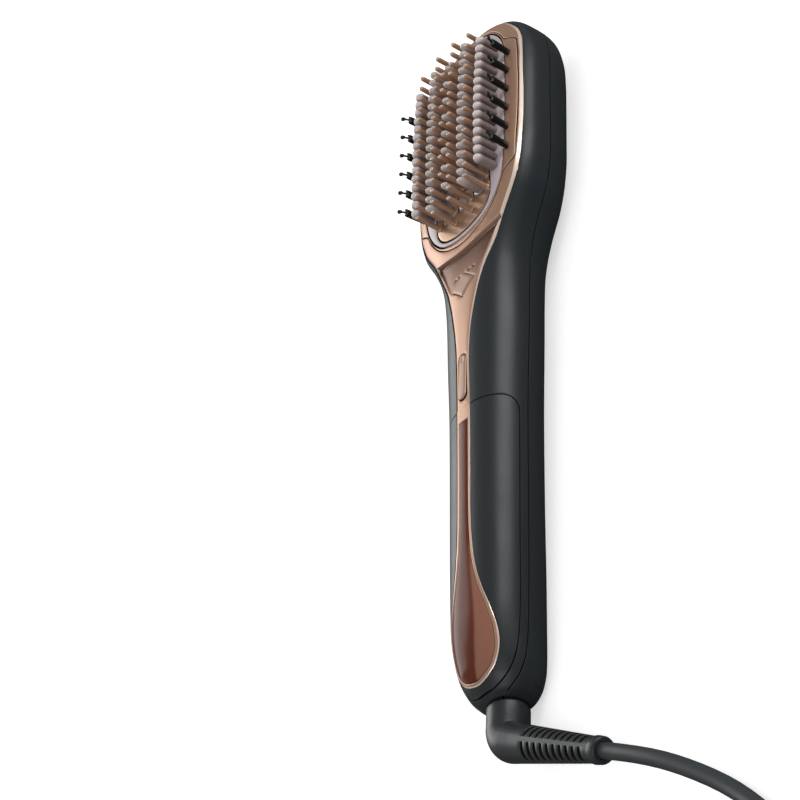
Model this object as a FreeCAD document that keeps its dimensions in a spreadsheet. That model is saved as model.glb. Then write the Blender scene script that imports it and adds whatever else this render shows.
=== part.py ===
import FreeCAD, Part

# Steam hair straightener brush, lying on its back. The rest plane is z = 0, +Y runs along
# the handle to the tip of the head and +Z points out of the bristle face. All lengths are in
# millimetres. The outer form is one lofted envelope: the shells, the bezel and the tank are
# cut from its skin, and what sits inside takes its place from the same sizes.

import Sketcher
import math
import os
import re

V = FreeCAD.Vector
doc = FreeCAD.newDocument("steam_brush")

# ---------------------------------------------------------------- driving sizes
SIZES = {
    # overall form
    "body_long": 300.0, "head_wide": 68.8, "neck_wide": 36.8, "grip_wide": 34.4,
    "heel_wide": 32.4, "face_high": 34.0, "neck_high": 32.3, "grip_high": 31.0,
    "heel_high": 28.8, "head_mid_high": 20.0, "grip_mid_high": 15.5, "rest_cut": 0.4,
    "wall": 2.2, "face_below_tip": 56.0, "crown_radius": 670.0, "swivel_high": 10.0,
    "neck_lift": 2.4,
    # bezel and seams
    "bezel_thick": 3.6, "strip_wide": 7.4, "seam_gap": 0.25,
    "scoop_deep": 2.0, "seam_head_high": 19.0, "seam_grip_high": 15.6,
    "seam_heel_high": 14.2, "rail_high": 3.4,
    # brush face
    "plate_wide": 32.6, "plate_long": 92.6, "plate_thick": 2.2,
    "pad_wide": 49.2, "pad_long": 97.0, "frame_wide": 60.6, "frame_long": 101.3,
    "line_gap": 0.5, "pin_radius": 1.0, "pin_tall": 10.8,
    "blade_tall": 10.3, "window_wide": 6.0, "window_pitch": 9.6, "window_gap": 0.15,
    "window_corner": 1.8,
    "comb_back": 1.5, "bristle_foot": 25.4, "bristle_lean": 2.0, "bristle_tall": 14.3,
    # heater stack
    "chamber_wide": 30.0, "chamber_long": 86.0, "chamber_low": 21.0, "heater_thick": 3.5,
    "tray_wall": 1.6, "tray_low": 12.0,
    # controls
    "button_long": 12.6, "button_wide": 11.4, "button_y": 22.0, "button_proud": 0.5,
    "key_wide": 3.9, "key_long": 19.9, "key_y": -20.65, "control_gap": 0.3,
    "travel": 0.8, "board_wide": 22.0, "board_low": 19.0, "board_thick": 1.6,
    "board_front": 31.0, "board_back": -29.0, "dot_y": 27.5, "dot_size": 1.2,
    "post_x": 9.2, "post_radius": 1.8, "switch_tall": 4.6,
    # pump and hoses
    "pump_radius": 5.2, "pump_high": 11.0, "pump_back": -26.0, "pump_front": 2.0,
    "hose_radius": 2.0, "nipple_radius": 1.5, "lead_radius": 1.5,
    # tank
    "tank_front": -34.6, "tank_wall": 1.6, "tank_seat_gap": 0.25, "saddle_thick": 1.2,
    "trim_wide": 1.3, "trim_thick": 1.4, "window_top": -40.1, "valve_y": -47.0,
    "spout_radius": 3.6, "spout_long": 5.0, "socket_radius": 4.5, "filler_y": -118.0,
    "filler_radius": 5.0,
    # screws
    "screw_radius": 1.25, "screw_head_radius": 2.5, "screw_head_tall": 1.4,
    "boss_radius": 2.8,
    # swivel, elbow and cord
    "spigot_radius": 3.6, "spigot_fit": 0.05, "flange_radius": 4.0, "collar_radius": 7.4,
    "collar_gap": 1.0, "ring_radius": 1.9, "elbow_drop": 12.5, "arm_angle": 29.0,
    "arm_long": 56.4, "arm_end_radius": 4.1, "slot_pitch": 3.45, "cord_radius": 2.8,
    "coil_radius": 31.0, "coil_lift": 0.7,
}
sheet = doc.addObject("Spreadsheet::Sheet", "Sizes")
for row, (alias, number) in enumerate(SIZES.items(), 1):
    sheet.set(f"A{row}", alias)
    sheet.set(f"B{row}", str(number))
    sheet.setAlias(f"B{row}", alias)
doc.recompute()


def size(text):
    """The number that an expression in the sheet's names comes to."""
    return float(sheet.evalExpression(bound(text)))


def bound(text):
    """The expression with each of the sheet's names written as the other objects see it."""
    return re.sub(r"\b([a-z]\w*_\w+|wall|travel)\b", r"Sizes.\1", str(text))


# ---------------------------------------------------------------- outline rows
# below the tip | share of the head's half width | extra fall of the front | lift of the
# back | rim of dark shell outside the bezel | squareness of the front half
DOME = (
    (0.0, 0.12, 7.4, 12.0, None, 2.6),
    (0.3, 0.218, 5.4, 10.0, None, 2.6),
    (1.6, 0.36, 3.5, 7.2, 5.4, 2.7),
    (4.3, 0.535, 1.6, 4.4, 3.2, 3.0),
    (9.6, 0.733, 0.4, 2.0, 3.6, 3.4),
    (19.4, 0.916, 0.0, 0.5, 2.6, 3.8),
    (30.0, 0.985, 0.0, 0.0, 2.5, 4.0),
    (41.0, 1.0, 0.0, 0.0, 2.5, 4.0),
    (72.0, 1.0, 0.0, 0.0, 2.5, 4.0),
)
# below the tip | share of the way from the neck's half width to the head's | rim | squareness
THROAT = (
    (83.2, 0.942, 2.7, 4.0),
    (93.8, 0.795, 3.3, 3.8),
    (104.4, 0.455, 4.0, 3.5),
    (111.5, 0.26, 4.4, 3.2),
    (116.8, 0.16, 5.3, 3.0),
    (122.1, 0.083, 7.0, 2.9),
    (127.5, 0.045, 8.8, 2.8),
    (138.1, 0.01, 11.4, 2.6),
    (148.7, 0.0, 13.4, 2.5),
    (159.3, -0.02, 14.2, 2.5),
)
# above the butt | share of the heel's half width | fall of the front | lift of the back
HEEL = (
    (0.0, 0.457, 11.5, 4.6),
    (1.1, 0.617, 9.4, 2.9),
    (2.4, 0.7, 8.0, 1.9),
    (4.2, 0.79, 6.4, 1.2),
    (6.0, 0.846, 5.2, 0.7),
    (11.3, 0.944, 2.9, 0.2),
    (20.2, 0.985, 1.0, 0.0),
    (29.0, 1.0, 0.2, 0.0),
)
# above the butt | half width of the gold teardrop
TEAR = (
    (3.8, 0.0), (5.6, 6.2), (7.8, 8.9), (12.4, 11.4), (20.6, 12.2), (29.0, 10.7),
    (38.0, 8.0), (46.7, 5.8), (55.6, 4.5), (64.5, 3.9), (73.0, 3.7),
)
# half width | distance from the middle of the face, for the plate and the pin frame
PLATE_END = ((0.0, 46.3), (5.7, 45.8), (10.7, 44.2), (14.0, 41.7), (15.8, 38.4), (16.3, 34.0))
FRAME_TOP = (
    (0.0, 49.9), (5.7, 49.4), (12.1, 47.0), (17.0, 43.1), (20.2, 39.2), (22.9, 35.0),
    (26.2, 33.2), (28.5, 31.5), (29.2, 28.0), (29.8, 23.0), (30.3, 10.2),
)
PAD_EDGE = (        # shares of the pad's half width and half length
    (0.0, 1.0), (0.244, 0.988), (0.398, 0.965), (0.524, 0.936), (0.618, 0.901), (0.707, 0.856),
    (0.789, 0.802), (0.854, 0.742), (0.907, 0.676), (0.947, 0.586), (0.98, 0.454),
    (0.996, 0.258), (1.0, 0.0),
)
FRAME_LOW = (
    (30.1, -11.0), (29.4, -21.6), (28.5, -28.9), (26.0, -31.1), (23.2, -33.2),
    (20.2, -39.2), (15.6, -44.9), (8.5, -49.5), (0.0, -51.4),
)


class Profile:
    """A smooth curve without overshoot through (place, value) pairs."""

    def __init__(self, pairs):
        self.x, self.y = zip(*sorted(pairs))
        gaps = [b - a for a, b in zip(self.x, self.x[1:])]
        rises = [(b - a) / gap for a, b, gap in zip(self.y, self.y[1:], gaps)]
        self.slope = [rises[0]] + [
            0.0 if one * two <= 0 else 2 * one * two / (one + two)
            for one, two in zip(rises, rises[1:])
        ] + [rises[-1]]

    def __call__(self, place):
        place = min(max(place, self.x[0]), self.x[-1])
        i = max(k for k in range(len(self.x) - 1) if self.x[k] <= place)
        gap = self.x[i + 1] - self.x[i]
        t = (place - self.x[i]) / gap
        return (
            self.y[i] * (1 + 2 * t) * (1 - t) ** 2
            + self.y[i + 1] * t * t * (3 - 2 * t)
            + gap * t * (1 - t) * (self.slope[i] * (1 - t) - self.slope[i + 1] * t)
        )


# ---------------------------------------------------------------- the outer form
tip = size("body_long / 2")
butt = -tip
face_mid = tip - size("face_below_tip")
head_half = size("head_wide / 2")
neck_half = size("neck_wide / 2")
wall = size("wall")
tank_front = size("tank_front")
strip_half = size("strip_wide / 2")


def arc_high(y):
    """Height of the crowned face above the rest plane, at y."""
    return size("face_high") - (y - face_mid) ** 2 / (2 * size("crown_radius"))


def throat_half(share):
    return neck_half + share * (head_half - neck_half)


heel_half = size("heel_wide / 2")
half = Profile(
    [(tip - row[0], head_half * row[1]) for row in DOME]
    + [(tip - row[0], throat_half(row[1])) for row in THROAT]
    + [(tank_front, size("grip_wide / 2"))]
    + [(butt + row[0], heel_half * row[1]) for row in HEEL]
)
front = Profile(
    [(tip - row[0], arc_high(tip - row[0]) - row[2]) for row in DOME]
    + [(tip - row[0], arc_high(tip - row[0])) for row in THROAT[:2]]
    + [(tip - THROAT[2][0], size("neck_high")), (tip - THROAT[7][0], size("neck_high"))]
    + [(tank_front, size("grip_high"))]
    + [(butt + row[0], size("heel_high") - row[2]) for row in HEEL]
)
neck_lift = size("neck_lift")
back = Profile(
    [(tip - row[0], row[3]) for row in DOME]
    + [(tip - THROAT[k][0], neck_lift * share) for k, share in ((0, 0.12), (2, 0.7), (5, 1), (8, 1))]
    + [(tank_front, 0.85 * neck_lift), (butt + 75, 0.5 * neck_lift), (butt + 45, 0.12 * neck_lift)]
    + [(butt + row[0], row[3]) for row in HEEL]
)
middle = Profile(
    [(tip, size("head_mid_high")), (tip - THROAT[1][0], size("head_mid_high")),
     (tip - THROAT[7][0], size("grip_mid_high + 1")), (tank_front, size("grip_mid_high")),
     (butt + 34, size("grip_mid_high") - 0.6), (butt, size("swivel_high"))]
)
square = Profile(
    [(tip - row[0], row[5]) for row in DOME] + [(tip - row[0], row[3]) for row in THROAT]
    + [(butt + 30, 2.5), (butt, 2.1)]
)
BACK_SQUARE = 2.4
SECTION_POINTS = 28


def section(y, inset):
    """Closed cross-section of the form at y, drawn in by inset all round."""
    end_pull = wall_pull(y, inset)
    wide = half(end_pull) - inset
    mid = middle(end_pull)
    up = front(end_pull) - inset - mid
    down = mid - back(end_pull) + size("rest_cut") - inset
    points = []
    for k in range(SECTION_POINTS):
        angle = 2 * math.pi * k / SECTION_POINTS - math.pi / 2
        c, s = math.cos(angle), math.sin(angle)
        power, rise = (square(end_pull), up) if s > 0 else (BACK_SQUARE, down)
        points.append(V(
            math.copysign(abs(c) ** (2 / power), c) * wide, y,
            mid + math.copysign(abs(s) ** (2 / power), s) * rise,
        ))
    curve = Part.BSplineCurve()
    curve.interpolate(points, PeriodicFlag=True)
    return Part.Wire([curve.toShape()])


def wall_pull(y, inset):
    """The place on the outer form whose section an inset form takes at y."""
    return y + inset * (y / tip) ** 6 * math.copysign(1, y)


def form(inset):
    """The solid inside the outer form, inset from it, cut flat on the rest plane."""
    ends = tip - inset
    rows = [tip - row[0] for row in DOME + THROAT] + [butt + row[0] for row in HEEL]
    rows += [tank_front, (butt + tank_front) / 2, tip - 56, tip - 36, tip - 62, tip - 24.5]
    rows += [tip - 6.8, tip - 14, tip - 2.8, tip - 88.5, tip - 99, butt + 15.5, butt + 45]
    places = sorted(y * ends / tip if abs(y) > tip - 12 else y for y in rows)
    solid = Part.makeLoft([section(y, inset) for y in places], True, False)
    floor = Part.makeBox(400, 800, 50, V(-200, -400, -50 + inset))
    return solid.cut(floor)


# ---------------------------------------------------------------- helpers for the pieces
FAR = 60.0          # reach of a cutting block past the form
nodes = []


def keep(label, shape, x=0.0, y=0.0, z=0.0):
    """A named piece from a worked-out shape, placed at x, y, z."""
    piece = doc.addObject("Part::Feature", label)
    piece.Shape = Part.makeCompound([shape]) if shape.Placement != FreeCAD.Placement() else shape
    piece.Label = label
    piece.Placement.Base = V(x, y, z)
    nodes.append(piece)
    return piece


def primitive(kind, name, **terms):
    """A Part primitive whose properties are bound to the sheet."""
    solid = doc.addObject(f"Part::{kind}", name)
    for key, text in terms.items():
        path = f"Placement.Base.{key}" if key in "xyz" else key
        solid.setExpression(path, bound(text))
    return solid


def rod(name, radius, low, high, x=0.0, y=0.0):
    """An upright cylinder whose radius and ends are texts in the sheet's names."""
    return primitive("Cylinder", name, Radius=radius, Height=f"({high}) - ({low})",
                     x=str(x), y=str(y), z=low)


def lying_rod(name, radius, low, high, x=0.0, z="0"):
    """A cylinder along +Y whose ends are texts in the sheet's names."""
    solid = primitive("Cylinder", name, Radius=radius, Height=f"({high}) - ({low})",
                      x=str(x), y=low, z=z)
    solid.Placement.Rotation = FreeCAD.Rotation(V(1, 0, 0), -90)
    return solid


def brick(name, wide, deep, tall, x, y, z):
    """A box whose sides and nearest corner are texts in the sheet's names."""
    return primitive("Box", name, Length=str(wide), Width=str(deep), Height=str(tall),
                     x=str(x), y=str(y), z=str(z))


def name_node(piece, label):
    piece.Label = label
    nodes.append(piece)
    return piece


def joined(kind, label, *parts):
    """A Part boolean of two or more parts as a named piece."""
    if kind == "Cut":
        result = parts[0]
        for number, tool in enumerate(parts[1:], 1):
            step = doc.addObject("Part::Cut", f"{label}_step_{number}")
            step.Base, step.Tool = result, tool
            result = step
    else:
        result = doc.addObject("Part::MultiFuse", f"{label}_whole")
        result.Shapes = list(parts)
    return name_node(result, label)


def sketched(label, role, points):
    """A body with a closed straight-sided sketch whose corners are bound to the sheet."""
    body = doc.addObject("PartDesign::Body", label)
    sketch = body.newObject("Sketcher::SketchObject", f"{label}_outline")
    plane = [one for one in body.Origin.OriginFeatures if one.Role == role][0]
    sketch.AttachmentSupport = [(plane, "")]
    sketch.MapMode = "FlatFace"
    spots = [V(size(x), size(y), 0) for x, y in points]
    count = len(spots)
    for i in range(count):
        sketch.addGeometry(Part.LineSegment(spots[i], spots[(i + 1) % count]), False)
    for i in range(count):
        sketch.addConstraint(Sketcher.Constraint("Coincident", i, 2, (i + 1) % count, 1))
    for i, texts in enumerate(points):
        for kind, value, text, axis in (
            ("DistanceX", spots[i].x, texts[0], -2), ("DistanceY", spots[i].y, texts[1], -1)
        ):
            if abs(value) < 1e-9:
                sketch.addConstraint(Sketcher.Constraint("PointOnObject", i, 1, axis))
            else:
                at = sketch.addConstraint(Sketcher.Constraint(kind, -1, 1, i, 1, value))
                sketch.setExpression(f"Constraints[{at}]", bound(text))
    doc.recompute()
    return body, sketch


def turned(label, points, x="0", y="0", z="0"):
    """A piece of revolution about its own upright axis, from (radius, height) corners."""
    body, sketch = sketched(label, "XZ_Plane", points)
    spin = body.newObject("PartDesign::Revolution", f"{label}_turned")
    spin.Profile = sketch
    spin.ReferenceAxis = (sketch, ["V_Axis"])
    spin.Angle = 360
    for key, text in (("x", x), ("y", y), ("z", z)):
        body.setExpression(f"Placement.Base.{key}", bound(text))
    doc.recompute()
    return body


def spline(points, closed=False):
    curve = Part.BSplineCurve()
    curve.interpolate(points, PeriodicFlag=closed)
    return curve.toShape()


def mirrored(right):
    """A closed list of points from right-hand ones, given from the top to the bottom."""
    left = [(-x, y) for x, y in reversed(right) if x > 1e-6]
    return right + left


def prism(face, low=10.0, high=FAR):
    """The face, drawn in plan, raised from low to high."""
    face = face.copy()
    face.translate(V(0, 0, low))
    return face.extrude(V(0, 0, high - low))


def smooth_face(right):
    """Face inside a closed smooth outline through mirrored points."""
    spots = [V(x, y, 0) for x, y in mirrored(right)]
    return Part.Face(Part.Wire([spline(spots, True)]))


def shifted(right, inset):
    """Right-hand outline points moved inwards, square to the outline."""
    moved = []
    for i, (x, y) in enumerate(right):
        x0, y0 = right[i - 1] if i else (-right[1][0], right[1][1])
        x1, y1 = right[i + 1] if i + 1 < len(right) else (-right[-2][0], right[-2][1])
        if x > 1e-6 and i == 0:
            x0, y0 = x, y
        if x > 1e-6 and i + 1 == len(right):
            x1, y1 = x, y
        run = math.hypot(x1 - x0, y1 - y0)
        moved.append((x + inset * (y1 - y0) / run, y - inset * (x1 - x0) / run))
    return moved


def pad_edge():
    """Right-hand points of the soft pad's outline, from the tip end down."""
    wide, tall = size("pad_wide / 2"), size("pad_long / 2")
    upper = [(x * wide, y * tall) for x, y in PAD_EDGE]
    lower = [(x, -y) for x, y in reversed(upper[:-1])]
    return [(x, face_mid + y) for x, y in upper + lower]


def soft_slot(wide, y_low, y_high, x=0.0, grow=0.0):
    """Face of a window: a rectangle with round corners, or round ends where it is short."""
    radius = min(size("window_corner"), (y_high - y_low) / 2) if y_high - y_low > wide else (
        y_high - y_low) / 2
    w, low, high, r = wide / 2 + grow, y_low - grow, y_high + grow, radius + grow
    edges = []
    for sx, sy, end in ((1, -1, low), (1, 1, high), (-1, 1, high), (-1, -1, low)):
        centre = V(x + sx * (w - r), end - sy * r, 0)
        side, cap = centre + V(sx * r, 0, 0), centre + V(0, sy * r, 0)
        apex = centre + V(sx * r, sy * r, 0) * math.sqrt(0.5)
        first, last = (cap, side) if sx * sy < 0 else (side, cap)
        edges.append(Part.Arc(first, apex, last).toShape())
    ends = [(one.Vertexes[0].Point, one.Vertexes[-1].Point) for one in edges]
    for k in range(4):
        p, q = ends[k][1], ends[(k + 1) % 4][0]
        if p.distanceToPoint(q) > 1e-4:
            edges.append(Part.LineSegment(p, q).toShape())
    return Part.Face(Part.Wire(Part.__sortEdges__(edges)))


def capsule(wide, y_low, y_high, x=0.0, grow=0.0):
    """Face of a slot with round ends along Y."""
    r = wide / 2 + grow
    a, b = y_low - grow + r, y_high + grow - r
    edges = [
        Part.LineSegment(V(x + r, a, 0), V(x + r, b, 0)).toShape(),
        Part.Arc(V(x + r, b, 0), V(x, b + r, 0), V(x - r, b, 0)).toShape(),
        Part.LineSegment(V(x - r, b, 0), V(x - r, a, 0)).toShape(),
        Part.Arc(V(x - r, a, 0), V(x, a - r, 0), V(x + r, a, 0)).toShape(),
    ]
    return Part.Face(Part.Wire(edges))


def below_curve(pairs, low=-FAR):
    """Everything under a smooth line in side view, across the whole width."""
    line = spline([V(-200, y, z) for y, z in pairs])
    first, last = pairs[0], pairs[-1]
    edges = [line] + [
        Part.LineSegment(V(-200, *a), V(-200, *b)).toShape()
        for a, b in ((last, (last[0], low)), ((last[0], low), (first[0], low)),
                     ((first[0], low), first))
    ]
    return Part.Face(Part.Wire(edges)).extrude(V(400, 0, 0))


def arc_slab(face, top, bottom):
    """The part of a plan face between two depths under the crowned face line."""
    radius = size("crown_radius")
    centre = V(0, face_mid, size("face_high") - radius)
    outer = Part.makeCylinder(radius - top, 400, V(-200, centre.y, centre.z), V(1, 0, 0))
    inner = Part.makeCylinder(radius - bottom, 400, V(-200, centre.y, centre.z), V(1, 0, 0))
    return prism(face, 15).common(outer).cut(inner)


def slug(radius, low, high, x, y, lean=0.0):
    """A pin with a round tip, from low to high, leaning outwards by lean over its length."""
    run = V(lean, 0, high - low)
    top = V(x, y, low) + run - run * (radius / run.Length)
    shaft = Part.makeCylinder(radius, run.Length - radius, V(x, y, low), run)
    return shaft.fuse(Part.makeSphere(radius, top))


def blade(wide, thick, low, high, x, y):
    """A flat tooth with a rounded top corner at each side."""
    r = wide / 2 * 0.8
    w = wide / 2
    spots = [V(x - w, y - thick / 2, low), V(x + w, y - thick / 2, low),
             V(x + w, y - thick / 2, high - r), V(x, y - thick / 2, high),
             V(x - w, y - thick / 2, high - r)]
    top = Part.Arc(spots[2], spots[3], spots[4]).toShape()
    edges = [Part.LineSegment(spots[4], spots[0]).toShape(),
             Part.LineSegment(spots[0], spots[1]).toShape(),
             Part.LineSegment(spots[1], spots[2]).toShape(), top]
    return Part.Face(Part.Wire(edges)).extrude(V(0, thick, 0))


def coil_spring(radius, wire, low, high, turns, x, y):
    """A round-wire compression spring standing at x, y."""
    rise = high - low - 2 * wire
    path = Part.makeHelix(rise / turns, rise, radius)
    ring = Part.Wire([Part.makeCircle(wire, V(radius, 0, 0), V(0, 1, 0))])
    made = Part.Wire(path).makePipeShell([ring], True, False)
    made.translate(V(x, y, low + wire))
    return made


# ---------------------------------------------------------------- seams and outlines
def main_seam(lift=0.0):
    """Side-view line between the rear shell and what lies in front of it."""
    heel, grip, head = (size(f"seam_{one}_high") for one in ("heel", "grip", "head"))
    rows = ((butt - 10, size("swivel_high")), (butt + 4, size("swivel_high")),
            (butt + 25, heel), (tank_front, grip), (tip - 130, grip + 0.8),
            (tip - 90, head - 0.8), (tip - 50, head), (tip + 10, head))
    return below_curve([(y, z + lift) for y, z in rows])


def tank_zone(inset):
    """Side-view block in front of the tank's seam, drawn in by inset."""
    heel = size("seam_heel_high + rail_high")
    grip = size("seam_grip_high + rail_high")
    corner = 5.5 - inset
    y1 = tank_front - inset
    low = [(butt - 3, heel + 4.6), (butt + 1.0, heel + 2.6), (butt + 4.5, heel + 1.5),
           (butt + 9, heel + 0.7), (butt + 15, heel + 0.2), (butt + 24, heel)]
    run = y1 - corner - (butt + 24)
    low += [(butt + 24 + run * k / 8, heel + (grip - heel) * k / 8) for k in range(1, 9)]
    low = [V(-200, y, z + inset) for y, z in low]
    bend = low[-1] + V(0, corner, corner)
    middle_bend = low[-1] + V(0, corner * math.sin(math.pi / 4),
                              corner * (1 - math.cos(math.pi / 4)))
    corners = [bend, V(-200, bend.y, FAR), V(-200, butt - 20, FAR), V(-200, butt - 20, low[0].z)]
    edges = [spline(low), Part.Arc(low[-1], middle_bend, bend).toShape()]
    for a, b in zip(corners, corners[1:] + [low[0]]):
        edges.append(Part.LineSegment(a, b).toShape())
    return Part.Face(Part.Wire(edges)).extrude(V(400, 0, 0))


def tank_floor_high(y):
    """Height of the tank's seam over the flat part of its floor."""
    heel = size("seam_heel_high + rail_high")
    grip = size("seam_grip_high + rail_high")
    share = (y - (butt + 24)) / (tank_front - 5.5 - (butt + 24))
    return heel + (grip - heel) * share


bezel_side = [
    (head_half * row[1] - row[4], tip - row[0]) for row in DOME if row[4]
] + [(throat_half(row[1]) - row[2], tip - row[0]) for row in THROAT]


def strip_shape(y_end, right):
    """Face of a smooth outline through mirrored points, carried straight on to y_end."""
    line = [V(-x, y, 0) for x, y in reversed(right) if x > 1e-6] + [V(x, y, 0) for x, y in right]
    a, b = line[0], line[-1]
    low_a, low_b = V(a.x, y_end, 0), V(b.x, y_end, 0)
    edges = [spline(line)] + [Part.LineSegment(p, q).toShape()
                              for p, q in ((b, low_b), (low_b, low_a), (low_a, a))]
    return Part.Face(Part.Wire(edges))


half_gap = size("seam_gap / 2")
bezel_low = 26.0        # the bezel's skirt ends here, inside the dark shell
bezel_face = strip_shape(
    tank_front + half_gap, [(0.0, tip - 0.75)] + bezel_side + [(strip_half, tank_front + 14.0)]
)
tear = [(wide, butt + above) for above, wide in reversed(TEAR)]
tear_face = strip_shape(tank_front - half_gap, [(x, y) for x, y in reversed(tear)])
window_tear = shifted(tear, size("trim_wide"))
window_face = strip_shape(size("window_top"), [(max(x, 0.0), y) for x, y in reversed(window_tear)])
frame_x = size("frame_wide / 2") / FRAME_TOP[-1][0]
frame_y = size("frame_long") / (FRAME_TOP[0][1] - FRAME_LOW[-1][1])
frame_right = [(x * frame_x, face_mid + y * frame_y) for x, y in FRAME_TOP + FRAME_LOW]
line_half = size("line_gap / 2")
frame_hole = smooth_face(shifted(frame_right, -half_gap))
frame_face = smooth_face(shifted(frame_right, half_gap))
pad_hole = smooth_face(shifted(pad_edge(), -line_half))
pad_face = smooth_face(shifted(pad_edge(), line_half))


def plate_shape(grow):
    """Face of the heater plate's outline, grown by grow."""
    wide, tall = size("plate_wide / 2"), size("plate_long / 2")
    across, along = wide / PLATE_END[-1][0], tall / PLATE_END[0][1]
    top = shifted([(x * across, face_mid + y * along) for x, y in PLATE_END], -grow)
    top[-1] = (wide + grow, face_mid + PLATE_END[-1][1] * along)
    upper = [V(-x, y, 0) for x, y in reversed(top) if x > 1e-6] + [V(x, y, 0) for x, y in top]
    lower = [V(p.x, 2 * face_mid - p.y, 0) for p in upper]
    edges = [spline(upper), spline(lower),
             Part.LineSegment(upper[0], lower[0]).toShape(),
             Part.LineSegment(upper[-1], lower[-1]).toShape()]
    return Part.Face(Part.Wire(Part.__sortEdges__(edges)))


def row_of(first, pitch, count):
    """Places along the face, from the tip end, as distances from its middle."""
    return [face_mid + first - pitch * k for k in range(count)]


# ---------------------------------------------------------------- envelope and skins
outer = form(0.0)
cavity = form(wall)
skin = outer.cut(cavity)
screw_radius = size("screw_radius")
boss_radius = size("boss_radius")
head_radius = size("screw_head_radius")
head_tall = size("screw_head_tall")
board_low = size("board_low")
post_spots = [(sx * size("post_x"), y) for sx in (-1, 1) for y in (-14.0, 25.0)]
tray_spots = [(sx * 20.5, face_mid + dy) for sx in (-1, 1) for dy in (-30.0, 30.0)]
saddle_spots = [(0.0, y) for y in (-64.0, -94.0, -128.0)]
saddle_drop = size("tank_seat_gap + saddle_thick")


def upright(radius, low, high, x, y):
    return Part.makeCylinder(radius, high - low, V(x, y, low))


def pan_screws(label, spots, long, thread="screw_radius", cap="screw_head_radius",
               cap_tall="screw_head_tall"):
    """Pan-head screws whose heads rest at the heights given as texts with their places."""
    parts = []
    for number, (x, y, high) in enumerate(spots):
        parts.append(rod(f"{label}_shank_{number}", thread, f"{high} - {long}", high, x, y))
        parts.append(rod(f"{label}_head_{number}", cap, high, f"{high} + {cap_tall}", x, y))
    return joined("Fuse", label, *parts)


def rear_shell():
    """Back housing with its screw bosses, board posts and pump cradles."""
    shell = skin.common(main_seam(-half_gap))
    pump_high = size("pump_high")
    adds = [upright(boss_radius, 0, size("tray_low"), x, y) for x, y in tray_spots]
    adds += [upright(size("post_radius"), 0, board_low, x, y) for x, y in post_spots]
    adds += [upright(boss_radius, 0, tank_floor_high(y) - saddle_drop - 2.0, x, y)
             for x, y in saddle_spots]
    adds += [Part.makeBox(10, 2, pump_high, V(-5, y, 0)) for y in (-21.0, -5.0)]
    adds = [one.common(outer) for one in adds]
    shell = shell.multiFuse(adds)
    cuts = [upright(screw_radius, size("tray_low") - 7, size("tray_low"), x, y)
            for x, y in tray_spots]
    cuts += [upright(0.8, board_low - 5, board_low, x, y) for x, y in post_spots]
    cuts += [upright(screw_radius, tank_floor_high(y) - saddle_drop - 9,
                     tank_floor_high(y), x, y) for x, y in saddle_spots]
    cuts.append(Part.makeCylinder(size("pump_radius"), 60, V(0, -40, pump_high), V(0, 1, 0)))
    cuts.append(swivel_bore())
    return shell.cut(Part.makeCompound(cuts))


def swivel_bore():
    return Part.makeCylinder(
        size("spigot_radius + spigot_fit"), 12, V(0, butt - 2, size("swivel_high")), V(0, 1, 0)
    )


def front_shell():
    """Front housing: the dark sides and the saddle that the tank sits in."""
    shell = skin.cut(main_seam(half_gap)).cut(prism(bezel_face, bezel_low)).cut(tank_zone(-half_gap))
    low, high = tank_zone(-saddle_drop), tank_zone(-size("tank_seat_gap"))
    saddle = low.cut(high).common(cavity).cut(prism(bezel_face, size("grip_high - bezel_thick - 0.1")))
    pads, holes = [], [swivel_bore()]
    for x, y in saddle_spots:
        top = tank_floor_high(y) - size("tank_seat_gap")
        pads.append(upright(boss_radius + 1.2, top - saddle_drop - 1.75, top - 0.3, x, y))
        holes.append(upright(head_radius + 0.2, top - head_tall - 0.25, top + 3, x, y))
        holes.append(upright(screw_radius + 0.15, top - 9, top, x, y))
    holes.append(upright(size("socket_radius + 0.6"), 8, 30, 0, size("valve_y")))
    return shell.fuse(saddle.multiFuse(pads)).cut(Part.makeCompound(holes))


def scoop():
    """Wedge taken from the bezel between the face's lower edge and the power button."""
    top, low = tip - 106.0, tip - 131.0
    arc = Part.Arc(V(-20.2, tip - 105.8, 0), V(0, tip - 110.6, 0), V(20.2, tip - 105.8, 0))
    corners = [V(20.2, tip - 105.8, 0), V(13.7, tip - 116.7, 0), V(8.2, tip - 127.3, 0),
               V(4.6, low, 0), V(-4.6, low, 0), V(-8.2, tip - 127.3, 0),
               V(-13.7, tip - 116.7, 0), V(-20.2, tip - 105.8, 0)]
    edges = [arc.toShape()] + [Part.LineSegment(a, b).toShape()
                               for a, b in zip(corners, corners[1:])]
    area = prism(Part.Face(Part.Wire(edges)), 20)
    deep = size("scoop_deep")
    line = [(low - 2, size("neck_high") + 0.2), (low + 6, size("neck_high") - 0.12 * deep),
            (top, size("neck_high") - deep), (top + 10, size("neck_high") - deep)]
    return area.cut(below_curve(line))


def scoop_high(y):
    """Rough height of the scooped surface at y."""
    share = (y - (tip - 131.0)) / 25.0
    return size("neck_high") - size("scoop_deep") * max(0.0, share) ** 1.3


def diamond(wide, long, x, y, low, high):
    """An upright block on a diamond, its corners on the axes."""
    spots = [V(x + wide / 2, y, low), V(x, y + long / 2, low), V(x - wide / 2, y, low),
             V(x, y - long / 2, low)]
    return Part.Face(Part.makePolygon(spots + spots[:1])).extrude(V(0, 0, high - low))


button_wide, button_long = size("button_wide"), size("button_long")
button_y, key_y = size("button_y"), size("key_y")
control_gap = size("control_gap")
key_low, key_top = size("key_y - key_long / 2"), size("key_y + key_long / 2")
dot_xs = (-5.3, -2.9, 2.9, 5.3)
dot_size, dot_y = size("dot_size"), size("dot_y")


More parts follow.
